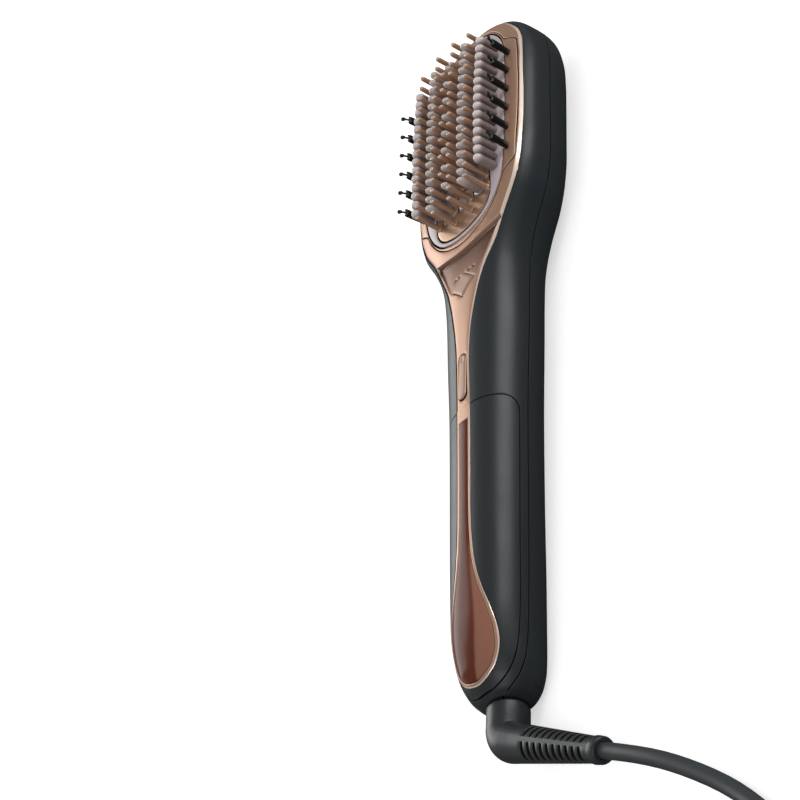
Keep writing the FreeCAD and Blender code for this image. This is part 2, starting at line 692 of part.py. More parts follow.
def front_bezel():
    """Rose-gold bezel, throat and strip, with its control openings."""
    thick = outer.cut(form(size("bezel_thick")))
    bezel = thick.common(prism(bezel_face, bezel_low)).cut(prism(frame_hole)).cut(scoop())
    holes = [diamond(button_long + 2 * control_gap, button_wide + 2 * control_gap,
                     0, button_y, 20, FAR),
             prism(capsule(size("key_wide"), key_low, key_top, 0, control_gap), 20)]
    holes += [diamond(dot_size + 0.1, dot_size + 0.1, x, dot_y, 20, FAR) for x in dot_xs]
    return bezel.cut(Part.makeCompound(holes))


keep("rear_shell", rear_shell())
keep("front_shell", front_shell())
keep("front_bezel", front_bezel())

# ---------------------------------------------------------------- brush face
blade_rows = row_of(35.7, 4.3, 17)
window_sets = ((0, 3), (4, 6), (7, 9), (10, 12), (13, 16))
window_wide = size("window_wide")
window_margin = 1.45


def side_windows():
    """Lower and upper ends of the five slots of an outer column."""
    spans = []
    for first, last in window_sets:
        top = blade_rows[first] + window_margin + (1.6 if first == 0 else 0.0)
        low = blade_rows[last] - window_margin - (2.5 if last == 16 else 0.0)
        spans.append((low, top))
    return spans


def centre_windows():
    """Slots of the middle column: two long end ones, and ovals round the single blades."""
    spans = [(blade_rows[1] - window_margin, blade_rows[1] + 7.2)]
    spans += [(blade_rows[k] - 2.1, blade_rows[k] + 2.1) for k in range(3, 15, 2)]
    return spans + [(blade_rows[15] - 7.6, blade_rows[15] + window_margin)]


columns = {
    "left": (-size("window_pitch"), side_windows(), blade_rows),
    "centre": (0.0, centre_windows(), blade_rows[1::2]),
    "right": (size("window_pitch"), side_windows(), blade_rows),
}
plate_thick = size("plate_thick")
pin_radius, pin_tall, blade_tall = size("pin_radius"), size("pin_tall"), size("blade_tall")
pin_spots = [(sx * 4.9, y) for sx in (-1, 1) for y in row_of(39.5, 5.27, 16)]
pin_spots += [(sx * 14.6, y) for sx in (-1, 1) for y in row_of(36.7, 5.54, 14)]
pin_spots += [(0.0, y) for y in blade_rows[2:15:2]]


def heater_plate():
    """Crowned plate with its pins, open where the steam windows come through."""
    plate = arc_slab(plate_shape(-line_half), 0.0, plate_thick)
    slots = [prism(soft_slot(window_wide if x else window_wide - 0.4, low, top, x), 20)
             for x, spans, _ in columns.values() for low, top in spans]
    pins = [slug(pin_radius, arc_high(y) - 1.0, arc_high(y) + pin_tall, x, y)
            for x, y in pin_spots]
    return plate.cut(Part.makeCompound(slots)).multiFuse(pins)


def comb(x, spans, rows):
    """Clear strip behind the plate, with a lens for each slot and a blade for each row."""
    fit = size("window_gap")
    wide = window_wide if x else window_wide - 0.4
    long_face = capsule(wide + 1.2, spans[-1][0] - 1.5, spans[0][1] + 1.5, x)
    strip = arc_slab(long_face, plate_thick + 0.05, plate_thick + size("comb_back"))
    lenses = [arc_slab(soft_slot(wide, low, top, x, -fit), 0.5, plate_thick + 0.5)
              for low, top in spans]
    blades = [blade(wide - 1.3, 1.7, arc_high(y) - 1.5, arc_high(y) + blade_tall, x, y)
              for y in rows]
    return strip.multiFuse(lenses + blades)


def guard_pad():
    """Soft ring round the plate with a row of blades down each side."""
    ring = skin.common(prism(pad_face, 24)).cut(prism(plate_shape(line_half), 20))
    blades = [blade(3.9, 1.7, arc_high(y) - 2.0, arc_high(y) + blade_tall - 1.0, sx * 19.2, y)
              for sx in (-1, 1) for y in blade_rows[1:16]]
    return ring.multiFuse(blades)


bristle_rows = row_of(25.2, 9.6, 6)
bristle_foot, bristle_lean = size("bristle_foot"), size("bristle_lean")
bristle_low = size("face_high - 5.8")


def pin_frame():
    """Gold insert between the bezel and the pad, drilled for the edge bristles."""
    ring = skin.common(prism(frame_face, 24)).cut(prism(pad_hole, 20))
    holes = [upright(1.7, 20, FAR, sx * (bristle_foot + 0.6), y)
             for sx in (-1, 1) for y in bristle_rows]
    return ring.cut(Part.makeCompound(holes))


def bristle_strip(side):
    """Strip of six stiff bristles that stand through the pin frame and lean outwards."""
    strip = Part.makeBox(3.6, 53, 1.3, V(-1.8, bristle_rows[-1] - 2.5, bristle_low))
    strip.translate(V(side * bristle_foot, 0, 0))
    parts = []
    for y in bristle_rows:
        foot = V(side * bristle_foot, y, bristle_low + 0.8)
        run = V(side * bristle_lean, 0, size("bristle_tall"))
        parts.append(Part.makeCone(1.25, 0.55, run.Length, foot, run))
        parts.append(Part.makeSphere(1.0, foot + run))
    return strip.multiFuse(parts)


def face_carrier():
    """Frame under the pad and the gold insert; it closes the lines between them."""
    ring = form(2.3).common(prism(frame_face, 26.2)).cut(prism(chamber_face(2.2), 10))
    slots = [Part.makeBox(4.2, 57, 12, V(sx * bristle_foot - 2.1, bristle_rows[-1] - 4.5,
                                         bristle_low)) for sx in (-1, 1)]
    return ring.cut(Part.makeCompound(slots))


def chamber_face(grow=0.0):
    """Rounded rectangle of the steam chamber in plan, grown by grow."""
    w, h = size("chamber_wide / 2") + grow, size("chamber_long / 2") + grow
    block = Part.makeBox(2 * w, 2 * h, 10, V(-w, face_mid - h, 0))
    upright_edges = [e for e in block.Edges if abs(e.Vertexes[0].Z - e.Vertexes[-1].Z) > 1]
    block = block.makeFillet(6.0 + grow, upright_edges)
    return [f for f in block.Faces if f.CenterOfMass.z < 1e-6][0]


chamber_low = size("chamber_low")
nipple_y = face_mid - size("chamber_long / 2")
hose_high = chamber_low + 3.0


def steam_chamber():
    """Cast block under the plate with a pocket where the steam spreads to the slots."""
    block = arc_slab(chamber_face(), plate_thick + 0.05, 30.0).cut(
        Part.makeBox(400, 400, 40, V(-200, -200, chamber_low - 40)))
    pocket = prism(chamber_face(-1.6), chamber_low + 6.0)
    bore = Part.makeCylinder(1.0, 14, V(0, nipple_y - 6, hose_high), V(0, 1, 0))
    riser = upright(1.0, hose_high, FAR, 0, nipple_y + 7)
    nipple = Part.makeCylinder(size("nipple_radius"), 7, V(0, nipple_y - 6, hose_high),
                               V(0, 1, 0))
    block = block.cut(pocket)
    return block.fuse(nipple).cut(bore).cut(riser)


tray_low = size("tray_low")


def heater_tray():
    """Insulating tray that carries the chamber on four screwed ears."""
    wall_out = prism(chamber_face(0.3 + size("tray_wall")), tray_low, 29.0)
    room = prism(chamber_face(0.3), tray_low + 2.0, 40)
    ears = [upright(3.2, tray_low, tray_low + 2.0, x, y) for x, y in tray_spots]
    ears += [Part.makeBox(5, 6.4, 2.0, V(min(x, x - math.copysign(5, x)), y - 3.2, tray_low))
             for x, y in tray_spots]
    tray = wall_out.multiFuse(ears).cut(room)
    holes = [upright(screw_radius + 0.15, 0, 40, x, y) for x, y in tray_spots]
    holes.append(Part.makeCylinder(size("hose_radius + 0.3"), 12,
                                   V(0, nipple_y - 8, hose_high), V(0, 1, 0)))
    holes.append(Part.makeCylinder(size("lead_radius + 0.2"), 12,
                                   V(-4, nipple_y - 8, board_low - size("lead_radius")),
                                   V(0, 1, 0)))
    return tray.cut(Part.makeCompound(holes))


keep("heater_plate", heater_plate())
for side, column in columns.items():
    keep(f"window_comb_{side}", comb(*column))
keep("guard_pad", guard_pad())
keep("pin_frame", pin_frame())
keep("bristle_strip_left", bristle_strip(-1))
keep("bristle_strip_right", bristle_strip(1))
keep("face_carrier", face_carrier())
keep("steam_chamber", steam_chamber())
keep("heater_tray", heater_tray())
pan_screws("tray_screws", [(x, y, "tray_low + 2") for x, y in tray_spots], 8)
face_text = "body_long / 2 - face_below_tip"
name_node(brick("ptc_heater", 18, "chamber_long - 16", "heater_thick", -9,
                f"{face_text} - (chamber_long - 16) / 2", "chamber_low - heater_thick"),
          "ptc_heater")
clip_top = chamber_low - size("heater_thick")
clip_floor = tray_low + 2.0


def heater_clip():
    """Waved steel leaf that presses the heater against the chamber."""
    spots = [(-24, clip_floor), (-16, clip_floor), (-10, clip_top - 0.5), (-3, clip_top - 0.5),
             (3, clip_top - 0.5), (10, clip_top - 0.5), (16, clip_floor), (24, clip_floor)]
    low = [V(-6, face_mid + y, z) for y, z in spots]
    high = [p + V(0, 0, 0.5) for p in reversed(low)]
    return Part.Face(Part.makePolygon(low + high + low[:1])).extrude(V(12, 0, 0))


keep("heater_clip", heater_clip())
name_node(rod("thermostat", "3.2", "chamber_low - 4.6", "chamber_low", 5.0, nipple_y + 4.0),
          "thermostat")
fuse = primitive("Cylinder", "thermal_fuse", Radius="1.8", Height="12", x="-6",
                 y=f"{face_text} + chamber_long / 2 - 3", z="chamber_low - 1.8")
fuse.Placement.Rotation = FreeCAD.Rotation(V(0, 1, 0), 90)
name_node(fuse, "thermal_fuse")

# ---------------------------------------------------------------- controls and board
travel = size("travel")
board_top = size("board_low + board_thick")
switch_top = board_top + size("switch_tall")
bezel_under = size("neck_high - bezel_thick")
button_top = scoop_high(button_y) + size("button_proud")
stem_low = switch_top + travel + 0.05
key_under = front(key_y) - size("bezel_thick")
key_high = front(key_y) + 0.35


def power_button():
    """Diamond cap with bevelled edges, a catch under the bezel and a stem."""
    cap = diamond(button_long, button_wide, 0, button_y, bezel_under - 1.2, button_top)
    upper = [e for e in cap.Edges if e.BoundBox.ZMin > button_top - 0.01]
    cap = cap.makeChamfer(0.7, upper)
    catch = diamond(button_long + 2.4, button_wide + 2.4, 0, button_y,
                    bezel_under - 1.2, bezel_under - 0.55)
    stem = upright(1.2, stem_low, bezel_under - 1.0, 0, button_y)
    return cap.fuse(catch).fuse(stem)


def steam_key():
    """Long capsule key with a hole for its light, a catch and a stem."""
    cap = prism(capsule(size("key_wide"), key_low, key_top), key_under - 1.2, key_high)
    upper = [e for e in cap.Edges if e.BoundBox.ZMin > key_high - 0.01]
    cap = cap.makeFillet(0.4, upper)
    catch = prism(capsule(size("key_wide") + 2.0, key_low, key_top, 0, 0.8),
                  key_under - 1.2, key_under - 0.55)
    stem = upright(1.0, stem_low, key_under - 1.0, 0, key_y)
    light = upright(0.65, key_under - 2, key_high + 1, 0, key_top - 2.6)
    return cap.fuse(catch).fuse(stem).cut(light)


keep("power_button", power_button())
keep("steam_key", steam_key())
name_node(rod("key_light", "0.65", str(key_under - 1.2), str(key_high - 0.05), 0, key_top - 2.6),
          "key_light")
button_spring_high = bezel_under - 1.2
keep("power_spring", coil_spring(3.3, 0.2, board_top, button_spring_high, 4, 0, button_y))
keep("key_springs", Part.makeCompound([
    coil_spring(1.5, 0.2, board_top, key_under - 1.2, 5, 0, key_y + dy) for dy in (-7.0, 6.0)]))
dots = [diamond(dot_size, dot_size, x, dot_y, bezel_under - 0.6, scoop_high(dot_y) - 0.2)
        for x in dot_xs]
bar_low = bezel_under - 1.3
dots += [Part.makeBox(dot_size, 2.4, 0.8, V(x - dot_size / 2, dot_y - 0.2, bar_low)) for x in dot_xs]
bar = Part.makeBox(12.0, 1.2, 0.8, V(-6.0, dot_y + 1.6, bar_low))
keep("indicator_lens", bar.multiFuse(dots))
board = primitive("Box", "board_blank", Length="board_wide", Width="board_front - board_back",
                  Height="board_thick", x="-board_wide / 2", y="board_back", z="board_low")
holes = [primitive("Cylinder", f"board_hole_{k}", Radius="post_radius / 2", Height="wall + 10",
                   x=str(x), y=str(y), z="board_low - 3") for k, (x, y) in enumerate(post_spots)]
doc.recompute()
joined("Cut", "control_board", board, *holes)
top_text = "board_low + board_thick"
pan_screws("board_screws", [(x, y, top_text) for x, y in post_spots], "(board_thick + 4)",
           "0.8", "1.6", "1")
switch_parts = []
for name, y in (("power", "button_y"), ("steam", "key_y")):
    switch_parts.append(brick(f"{name}_switch_case", 4.2, 4.2, 3.4, -2.1, f"{y} - 2.1", top_text))
    plunger = primitive("Cylinder", f"{name}_switch_plunger", Radius="1", Height="switch_tall",
                        y=y, z=top_text)
    switch_parts.append(plunger)
joined("Fuse", "tact_switches", *switch_parts)
led_parts = [brick(f"led_{k}", 1.6, 0.8, 0.7, x - 0.8, "dot_y + 1.4", top_text)
             for k, x in enumerate(dot_xs)]
led_parts.append(brick("led_key", 0.8, 1.6, 0.7, 2.4, "key_y + key_long / 2 - 3.4", top_text))
joined("Fuse", "indicator_leds", *led_parts)

# ---------------------------------------------------------------- pump, hoses and leads
pump_high = size("pump_high")
nipple = size("nipple_radius")
pump = turned("pump", [
    ("0", "0"), ("nipple_radius", "0"), ("nipple_radius", "5"), ("pump_radius - 0.05", "5"),
    ("pump_radius - 0.05", "pump_front - pump_back + 5"),
    ("nipple_radius", "pump_front - pump_back + 5"),
    ("nipple_radius", "pump_front - pump_back + 10"), ("0", "pump_front - pump_back + 10"),
], y="pump_back - 5", z="pump_high")
pump.Placement.Rotation = FreeCAD.Rotation(V(1, 0, 0), -90)
name_node(pump, "pump")


def tube(path_points, radius, bore=0.0, share=0.45):
    """A round tube along straight runs joined by tangent arcs."""
    edges, spots = [], [V(*p) for p in path_points]
    radii = []
    start = spots[0]
    for i in range(1, len(spots) - 1):
        into, out = spots[i] - spots[i - 1], spots[i + 1] - spots[i]
        turn = into.getAngle(out)
        reach = share * min(into.Length, out.Length)
        bend = reach / math.tan(turn / 2)
        radii.append(round(bend, 1))
        a = spots[i] - into.normalize() * reach
        b = spots[i] + out.normalize() * reach
        inward = (out - into).normalize()
        apex = spots[i] + inward * (math.hypot(bend, reach) - bend)
        edges.append(Part.LineSegment(start, a).toShape())
        edges.append(Part.Arc(a, apex, b).toShape())
        start = b
    edges.append(Part.LineSegment(start, spots[-1]).toShape())
    path = Part.Wire(edges)
    along = spots[1] - spots[0]
    rings = [Part.Wire([Part.makeCircle(r, spots[0], along)]) for r in (radius, bore) if r]
    made = [path.makePipeShell([ring], True, False) for ring in rings]
    solid = made[0].cut(made[1]) if bore else made[0]
    return solid, radii, path.Length


socket_low = tank_floor_high(size("valve_y")) - saddle_drop - 5.6
hose = size("hose_radius")


def valve_socket():
    """Cup under the saddle that seals on the tank's spout and feeds the pump."""
    top = tank_floor_high(size("valve_y")) - saddle_drop
    y = size("valve_y")
    cup = upright(size("socket_radius") + 1.2, socket_low, top - 0.1, 0, y)
    room = upright(size("socket_radius"), socket_low + 1.0, top + 1, 0, y)
    flow = Part.makeCylinder(nipple, 14, V(0, y, pump_high), V(0, 1, 0))
    bore = Part.makeCylinder(0.9, 16, V(0, y, pump_high), V(0, 1, 0))
    drop = upright(size("socket_radius") + 1.2, pump_high - nipple, socket_low + 0.2, 0, y)
    well = upright(0.9, pump_high, top, 0, y)
    return cup.cut(room).fuse(drop).fuse(flow).cut(bore).cut(well)


keep("valve_socket", valve_socket())
keep("inlet_hose", tube([(0, size("valve_y") + 7, pump_high), (0, size("pump_back"), pump_high)],
                        hose, nipple)[0])
steam_path = [(0, size("pump_front"), pump_high), (0, 26.5, pump_high), (0, 38.0, hose_high),
              (0, nipple_y, hose_high)]
keep("steam_hose", tube(steam_path, hose, nipple)[0])
lead = size("lead_radius")
keep("heater_leads", tube([(-4, 20.0, board_low - lead),
                           (-4, face_mid - size("chamber_long / 2") + 8.0, board_low - lead)],
                          lead)[0])
keep("mains_leads", tube([(7.4, butt + 18.0, 9.0), (7.4, -44.0, 9.0), (7.4, -33.0, board_low - lead),
                          (7.4, -20.0, board_low - lead)], lead)[0])

# ---------------------------------------------------------------- water tank
tank_gap = half_gap
trim_thick = size("trim_thick")


def tank_body():
    """Dark tank with a closed floor, a filler collar and the outlet spout."""
    whole = outer.common(tank_zone(tank_gap))
    room = cavity.common(tank_zone(tank_gap + size("tank_wall")))
    body = whole.cut(room)
    trim_bed = prism(tear_face, 19).cut(form(trim_thick))
    body = body.cut(trim_bed).cut(prism(window_face, 22.0))
    y, spout = size("valve_y"), size("spout_radius")
    floor = tank_floor_high(y)
    body = body.fuse(upright(spout, floor - size("spout_long"), floor + 1.0, 0, y))
    filler = size("filler_radius")
    fill_y = size("filler_y")
    holes = [upright(2.2, floor - 10, floor + 2, 0, y),
             upright(filler, tank_floor_high(fill_y) - 2, tank_floor_high(fill_y) + 2.5, 0, fill_y),
             upright(filler + 1.2, tank_floor_high(fill_y) - 2, tank_floor_high(fill_y) + 0.7,
                     0, fill_y)]
    groove = upright(spout + 0.2, floor - 4.0, floor - 3.0, 0, y).cut(
        upright(spout - 0.3, floor - 4.0, floor - 3.0, 0, y))
    return body.cut(Part.makeCompound(holes)).cut(groove)


keep("tank_body", tank_body())
keep("tank_trim", outer.cut(form(trim_thick)).common(prism(tear_face, 19)).cut(
    prism(window_face, 19)))
keep("tank_window", skin.common(prism(window_face, 22.0)))
valve_floor = tank_floor_high(size("valve_y"))
name_node(turned("tank_valve", [("1.2", "-4.8"), ("2.2", "-4.8"), ("2.2", "0.5"), ("0.8", "2.1"),
                                ("0", "2.1"), ("0", "0.2"), ("1.2", "0.2")],
                 y="valve_y", z=str(valve_floor)), "tank_valve")
name_node(primitive("Torus", "tank_seal", Radius1="spout_radius + 0.25", Radius2="0.5",
                    y="valve_y", z=str(valve_floor - 3.5)), "tank_seal")
fill_floor = tank_floor_high(size("filler_y"))
name_node(turned("filler_plug", [("0", "-0.1"), ("filler_radius + 1.1", "-0.1"),
                                 ("filler_radius + 1.1", "0.7"), ("filler_radius", "0.7"),
                                 ("filler_radius", "2.4"), ("0", "2.4")],
                 y="filler_y", z=str(fill_floor)), "filler_plug")
pan_screws("saddle_screws", [(x, y, str(tank_floor_high(y) - size("tank_seat_gap") - head_tall - 0.25))
                             for x, y in saddle_spots], 8)

# ---------------------------------------------------------------- swivel and elbow
swivel_high = size("swivel_high")
spigot_radius = size("spigot_radius")
collar_face = butt - size("collar_gap")


def along_y(radius, y_low, y_high):
    return Part.makeCylinder(radius, y_high - y_low, V(0, y_low, swivel_high), V(0, 1, 0))


butt_text, collar_text = "-body_long / 2", "-body_long / 2 - collar_gap"
bush = joined(
    "Fuse", "swivel_bush",
    lying_rod("bush_spigot", "spigot_radius", f"{collar_text} - 5", f"{butt_text} + 4",
              z="swivel_high"),
    lying_rod("bush_flange", "flange_radius", f"{butt_text} + wall + 0.3",
              f"{butt_text} + wall + 1.5", z="swivel_high"),
    lying_rod("bush_key", "spigot_radius + 1.2", f"{collar_text} - 5", f"{collar_text} - 1",
              z="swivel_high"),
    lying_rod("bush_carrier", "1.5", f"{butt_text} + 4", f"{butt_text} + 12.5", z="swivel_high"),
)
bores = [lying_rod(f"ring_bore_{k}", "1.5", f"{butt_text} + 6", f"{butt_text} + 13",
                   z="swivel_high") for k in range(2)]
rings = []
for bore, reach in zip(bores, ("7.4", "10.6")):
    ring = doc.addObject("Part::Cut", f"slip_ring_{reach[0]}")
    ring.Base = lying_rod(f"ring_blank_{reach[0]}", "ring_radius", f"{butt_text} + {reach}",
                          f"{butt_text} + {reach} + 1.4", z="swivel_high")
    ring.Tool = bore
    rings.append(ring)
joined("Fuse", "slip_rings", *rings)
name_node(brick("contact_block", 16, 2.4, 6.6, -8, f"{butt_text} + 15.4",
                "swivel_high - 6.2"), "contact_block")
joined("Fuse", "contact_fingers",
       brick("finger_right", 0.4, 10.4, 2.4, "ring_radius + 0.05", f"{butt_text} + 5",
             "swivel_high - 2"),
       brick("finger_left", 0.4, 7.2, 2.4, "-ring_radius - 0.45", f"{butt_text} + 8.2",
             "swivel_high - 2"))
doc.recompute()


elbow = V(0, collar_face - size("elbow_drop"), swivel_high)
arm_angle = math.radians(size("arm_angle"))
arm_way = V(math.cos(arm_angle), -math.sin(arm_angle), 0)
arm_long, arm_radius = size("arm_long"), size("collar_radius") - 0.4
arm_end_radius = size("arm_end_radius")
arm_end = elbow + arm_way * arm_long


def cord_elbow():
    """Rubber elbow: collar, round knee and a tapered arm with flex slots in four rows."""
    collar = size("collar_radius")
    body = along_y(collar, elbow.y, collar_face)
    rim = [e for e in body.Edges if e.BoundBox.YMin > collar_face - 0.01]
    body = body.makeFillet(0.8, rim)
    arm = Part.makeCone(arm_radius, arm_end_radius, arm_long, elbow, arm_way)
    body = body.fuse(Part.makeSphere(collar, elbow)).fuse(arm)
    cuts = []
    for k in range(10):
        reach = 17.5 + size("slot_pitch") * k
        radius = arm_radius + (arm_end_radius - arm_radius) * reach / arm_long
        for quarter in range(4):
            notch = Part.makeBox(1.3, 2 * radius * 0.62, 3.0, V(-0.65, -radius * 0.62, 0))
            notch.translate(V(0, 0, radius * 0.72))
            notch.rotate(V(0, 0, 0), V(1, 0, 0), 45 + 90 * quarter)
            notch.rotate(V(0, 0, 0), V(0, 0, 1), -math.degrees(arm_angle))
            notch.translate(elbow + arm_way * reach)
            cuts.append(notch)
    return body.cut(Part.makeCompound(cuts)).cut(bush.Shape)


keep("cord_elbow", cord_elbow())

# ---------------------------------------------------------------- mains cord
cord = size("cord_radius")
coil_centre = V(100.5, -287.0, 0)
coil_radius, coil_lift = size("coil_radius"), size("coil_lift")
coil_half = 3 * cord            # the coil is three cords wide and three high
route = [
    tuple(arm_end), (66.0, -200.1, 9.8), (84.5, -212.5, 7.2), (103.5, -228.5, 3.8),
    (121.0, -249.0, 3.3), (134.7, -273.9, 3.5),
]
tail_route = [(100.5, -323.6, 14.7), (72.0, -324.5, 12.5), (50.5, -308.0, 8.2), (44.0, -281.0, 6.9)]


def ring_section(inner, outer_radius, low, high):
    """Face of a ring's section beside the coil's axis."""
    spots = [coil_centre + V(r, 0, z) for r, z in
             ((inner, low), (outer_radius, low), (outer_radius, high), (inner, high))]
    return Part.Face(Part.makePolygon(spots + spots[:1]))


def cord_coil():
    inner, outside = coil_radius - coil_half, coil_radius + coil_half
    ring = ring_section(inner, outside, coil_lift, coil_lift + 2 * coil_half)
    solid = ring.revolve(coil_centre, V(0, 0, 1), 360)
    return solid.makeFillet(cord, solid.Edges[:]) if solid.Edges else solid


def coil_tie():
    """Hook-and-loop band round the coil."""
    inner, outside = coil_radius - coil_half, coil_radius + coil_half
    top = coil_lift + 2 * coil_half
    band = coil_lift - 0.05
    section_out = ring_section(inner - band, outside + band, coil_lift - band, top + band)
    hole = ring_section(inner - 0.02, outside + 0.02, coil_lift - 0.02, top + 0.02)
    strap = section_out.cut(hole).revolve(coil_centre, V(0, 0, 1), 20)
    strap.rotate(coil_centre, V(0, 0, 1), 150)
    return strap


plug_start = V(*tail_route[-1])
plug_way = (V(*tail_route[-1]) - V(*tail_route[-2]))
plug_turn = math.degrees(math.atan2(plug_way.y, plug_way.x))
plug_half_high = 6.85


def laid(shape):
    """The shape, drawn along +X from the plug's cord end, turned and moved to where it lies."""
    shape.rotate(V(0, 0, 0), V(0, 0, 1), plug_turn)
    shape.translate(V(plug_start.x, plug_start.y, plug_half_high + 0.05))
    return shape


def plug_body():
    """Flat two-pole plug with a tapered strain relief."""
    spots = [(12, -4.5), (22, -11.5), (36, -16.5), (44, -17.5), (44, 17.5), (36, 16.5),
             (22, 11.5), (12, 4.5)]
    corners = [V(x, y, -plug_half_high) for x, y in spots]
    block = Part.Face(Part.makePolygon(corners + corners[:1])).extrude(
        V(0, 0, 2 * plug_half_high))
    block = block.makeFillet(2.0, block.Edges)
    relief = Part.makeCone(cord + 1.0, 5.2, 16, V(0, 0, 0), V(1, 0, 0))
    return laid(block.fuse(relief))


def plug_pins():
    pins = [Part.makeCylinder(2.0, 18.0, V(44, sy * 9.3, 0), V(1, 0, 0)).fuse(
        Part.makeSphere(2.0, V(62, sy * 9.3, 0))) for sy in (-1, 1)]
    return laid(Part.makeCompound(pins))


mains_cord, cord_radii, cord_long = tube(route, cord)
cord_tail, tail_radii, tail_long = tube(tail_route, cord)
turns = 8.31
print("cord bends", cord_radii, "tail bends", tail_radii)
print("cord length", round(cord_long + tail_long + turns * 2 * math.pi * coil_radius))
keep("mains_cord", mains_cord)
keep("cord_coil", cord_coil())
keep("coil_tie", coil_tie())
keep("cord_tail", cord_tail)
keep("plug_body", plug_body())
keep("plug_pins", plug_pins())

# ---------------------------------------------------------------- check and write
doc.recompute()
broken = [one.Name for one in doc.Objects if {"Invalid", "Error"} & set(one.State)]
broken += [one.Label for one in nodes if one.Shape.isNull() or not one.Shape.isValid()]
if broken:
    raise SystemExit(f"pieces that failed: {broken}")
os.makedirs("parts", exist_ok=True)
for one in nodes:
    one.Shape.exportStep(f"parts/{one.Label}.step")
print(len(nodes), "pieces written")
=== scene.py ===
"""Looks of a steam hair straightener brush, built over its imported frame.

Lengths are in millimetres until a shape becomes a Blender object, which is in metres. The
outer form repeats the sizes of the construction, and every skin, panel, pin, blade and seam
takes its place from it.
"""
import logging
import math
from dataclasses import dataclass, field
from enum import Enum
from typing import Callable, Iterable, Optional, Sequence, Union

import bmesh
import bpy
import numpy as np
from mathutils import Matrix, Vector
from mathutils.geometry import delaunay_2d_cdt


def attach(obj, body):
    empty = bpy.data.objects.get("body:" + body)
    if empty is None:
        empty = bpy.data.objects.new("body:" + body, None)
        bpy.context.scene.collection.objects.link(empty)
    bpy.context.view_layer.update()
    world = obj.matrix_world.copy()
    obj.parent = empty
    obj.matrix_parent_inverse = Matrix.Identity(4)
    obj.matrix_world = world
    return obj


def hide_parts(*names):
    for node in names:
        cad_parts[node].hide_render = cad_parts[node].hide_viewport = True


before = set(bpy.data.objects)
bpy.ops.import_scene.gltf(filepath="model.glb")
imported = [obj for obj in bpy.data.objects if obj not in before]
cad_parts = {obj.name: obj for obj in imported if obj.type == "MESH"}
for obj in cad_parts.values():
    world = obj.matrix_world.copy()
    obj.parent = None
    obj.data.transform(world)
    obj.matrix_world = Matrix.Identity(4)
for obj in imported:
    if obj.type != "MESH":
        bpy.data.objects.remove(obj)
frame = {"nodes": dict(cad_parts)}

logging.basicConfig(level=logging.INFO, format="%(message)s")
log = logging.getLogger("steam_brush")

MM = 0.001
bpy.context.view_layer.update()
Loop = list[tuple[float, float]]
Object = bpy.types.Object
Socket = bpy.types.NodeSocket
Number = Union[float, np.ndarray]
Value = Union[float, tuple, Socket]
Edge = tuple[tuple[float, float], ...]


# ---------------------------------------------------------------- the outer form
class Profile:
    """A smooth curve without overshoot through (place, value) pairs."""

    def __init__(self, pairs: Iterable[tuple[float, float]]) -> None:
        """Sort the pairs and work out the slope at each of them.

        Args:
            pairs: (place, value) pairs in any order.
        """
        self.at, self.value = np.array(sorted(pairs), float).T
        rise = np.diff(self.value) / np.diff(self.at)
        both = rise[:-1] * rise[1:]
        total = np.where(both > 0, rise[:-1] + rise[1:], 1.0)
        inner = np.where(both > 0, 2 * both / total, 0.0)
        self.slope = np.concatenate(([rise[0]], inner, [rise[-1]]))

    def __call__(self, place: Number) -> Number:
        """Value at a place or at an array of places, held level past both ends.

        Args:
            place: one place or an array of them.

        Returns:
            A value for each place.
        """
        place = np.clip(place, self.at[0], self.at[-1])
        i = np.clip(np.searchsorted(self.at, place, "right") - 1, 0, len(self.at) - 2)
        gap = self.at[i + 1] - self.at[i]
        t = (place - self.at[i]) / gap
        return (self.value[i] * (1 + 2 * t) * (1 - t) ** 2
                + self.value[i + 1] * t * t * (3 - 2 * t)
                + gap * t * (1 - t) * (self.slope[i] * (1 - t) - self.slope[i + 1] * t))


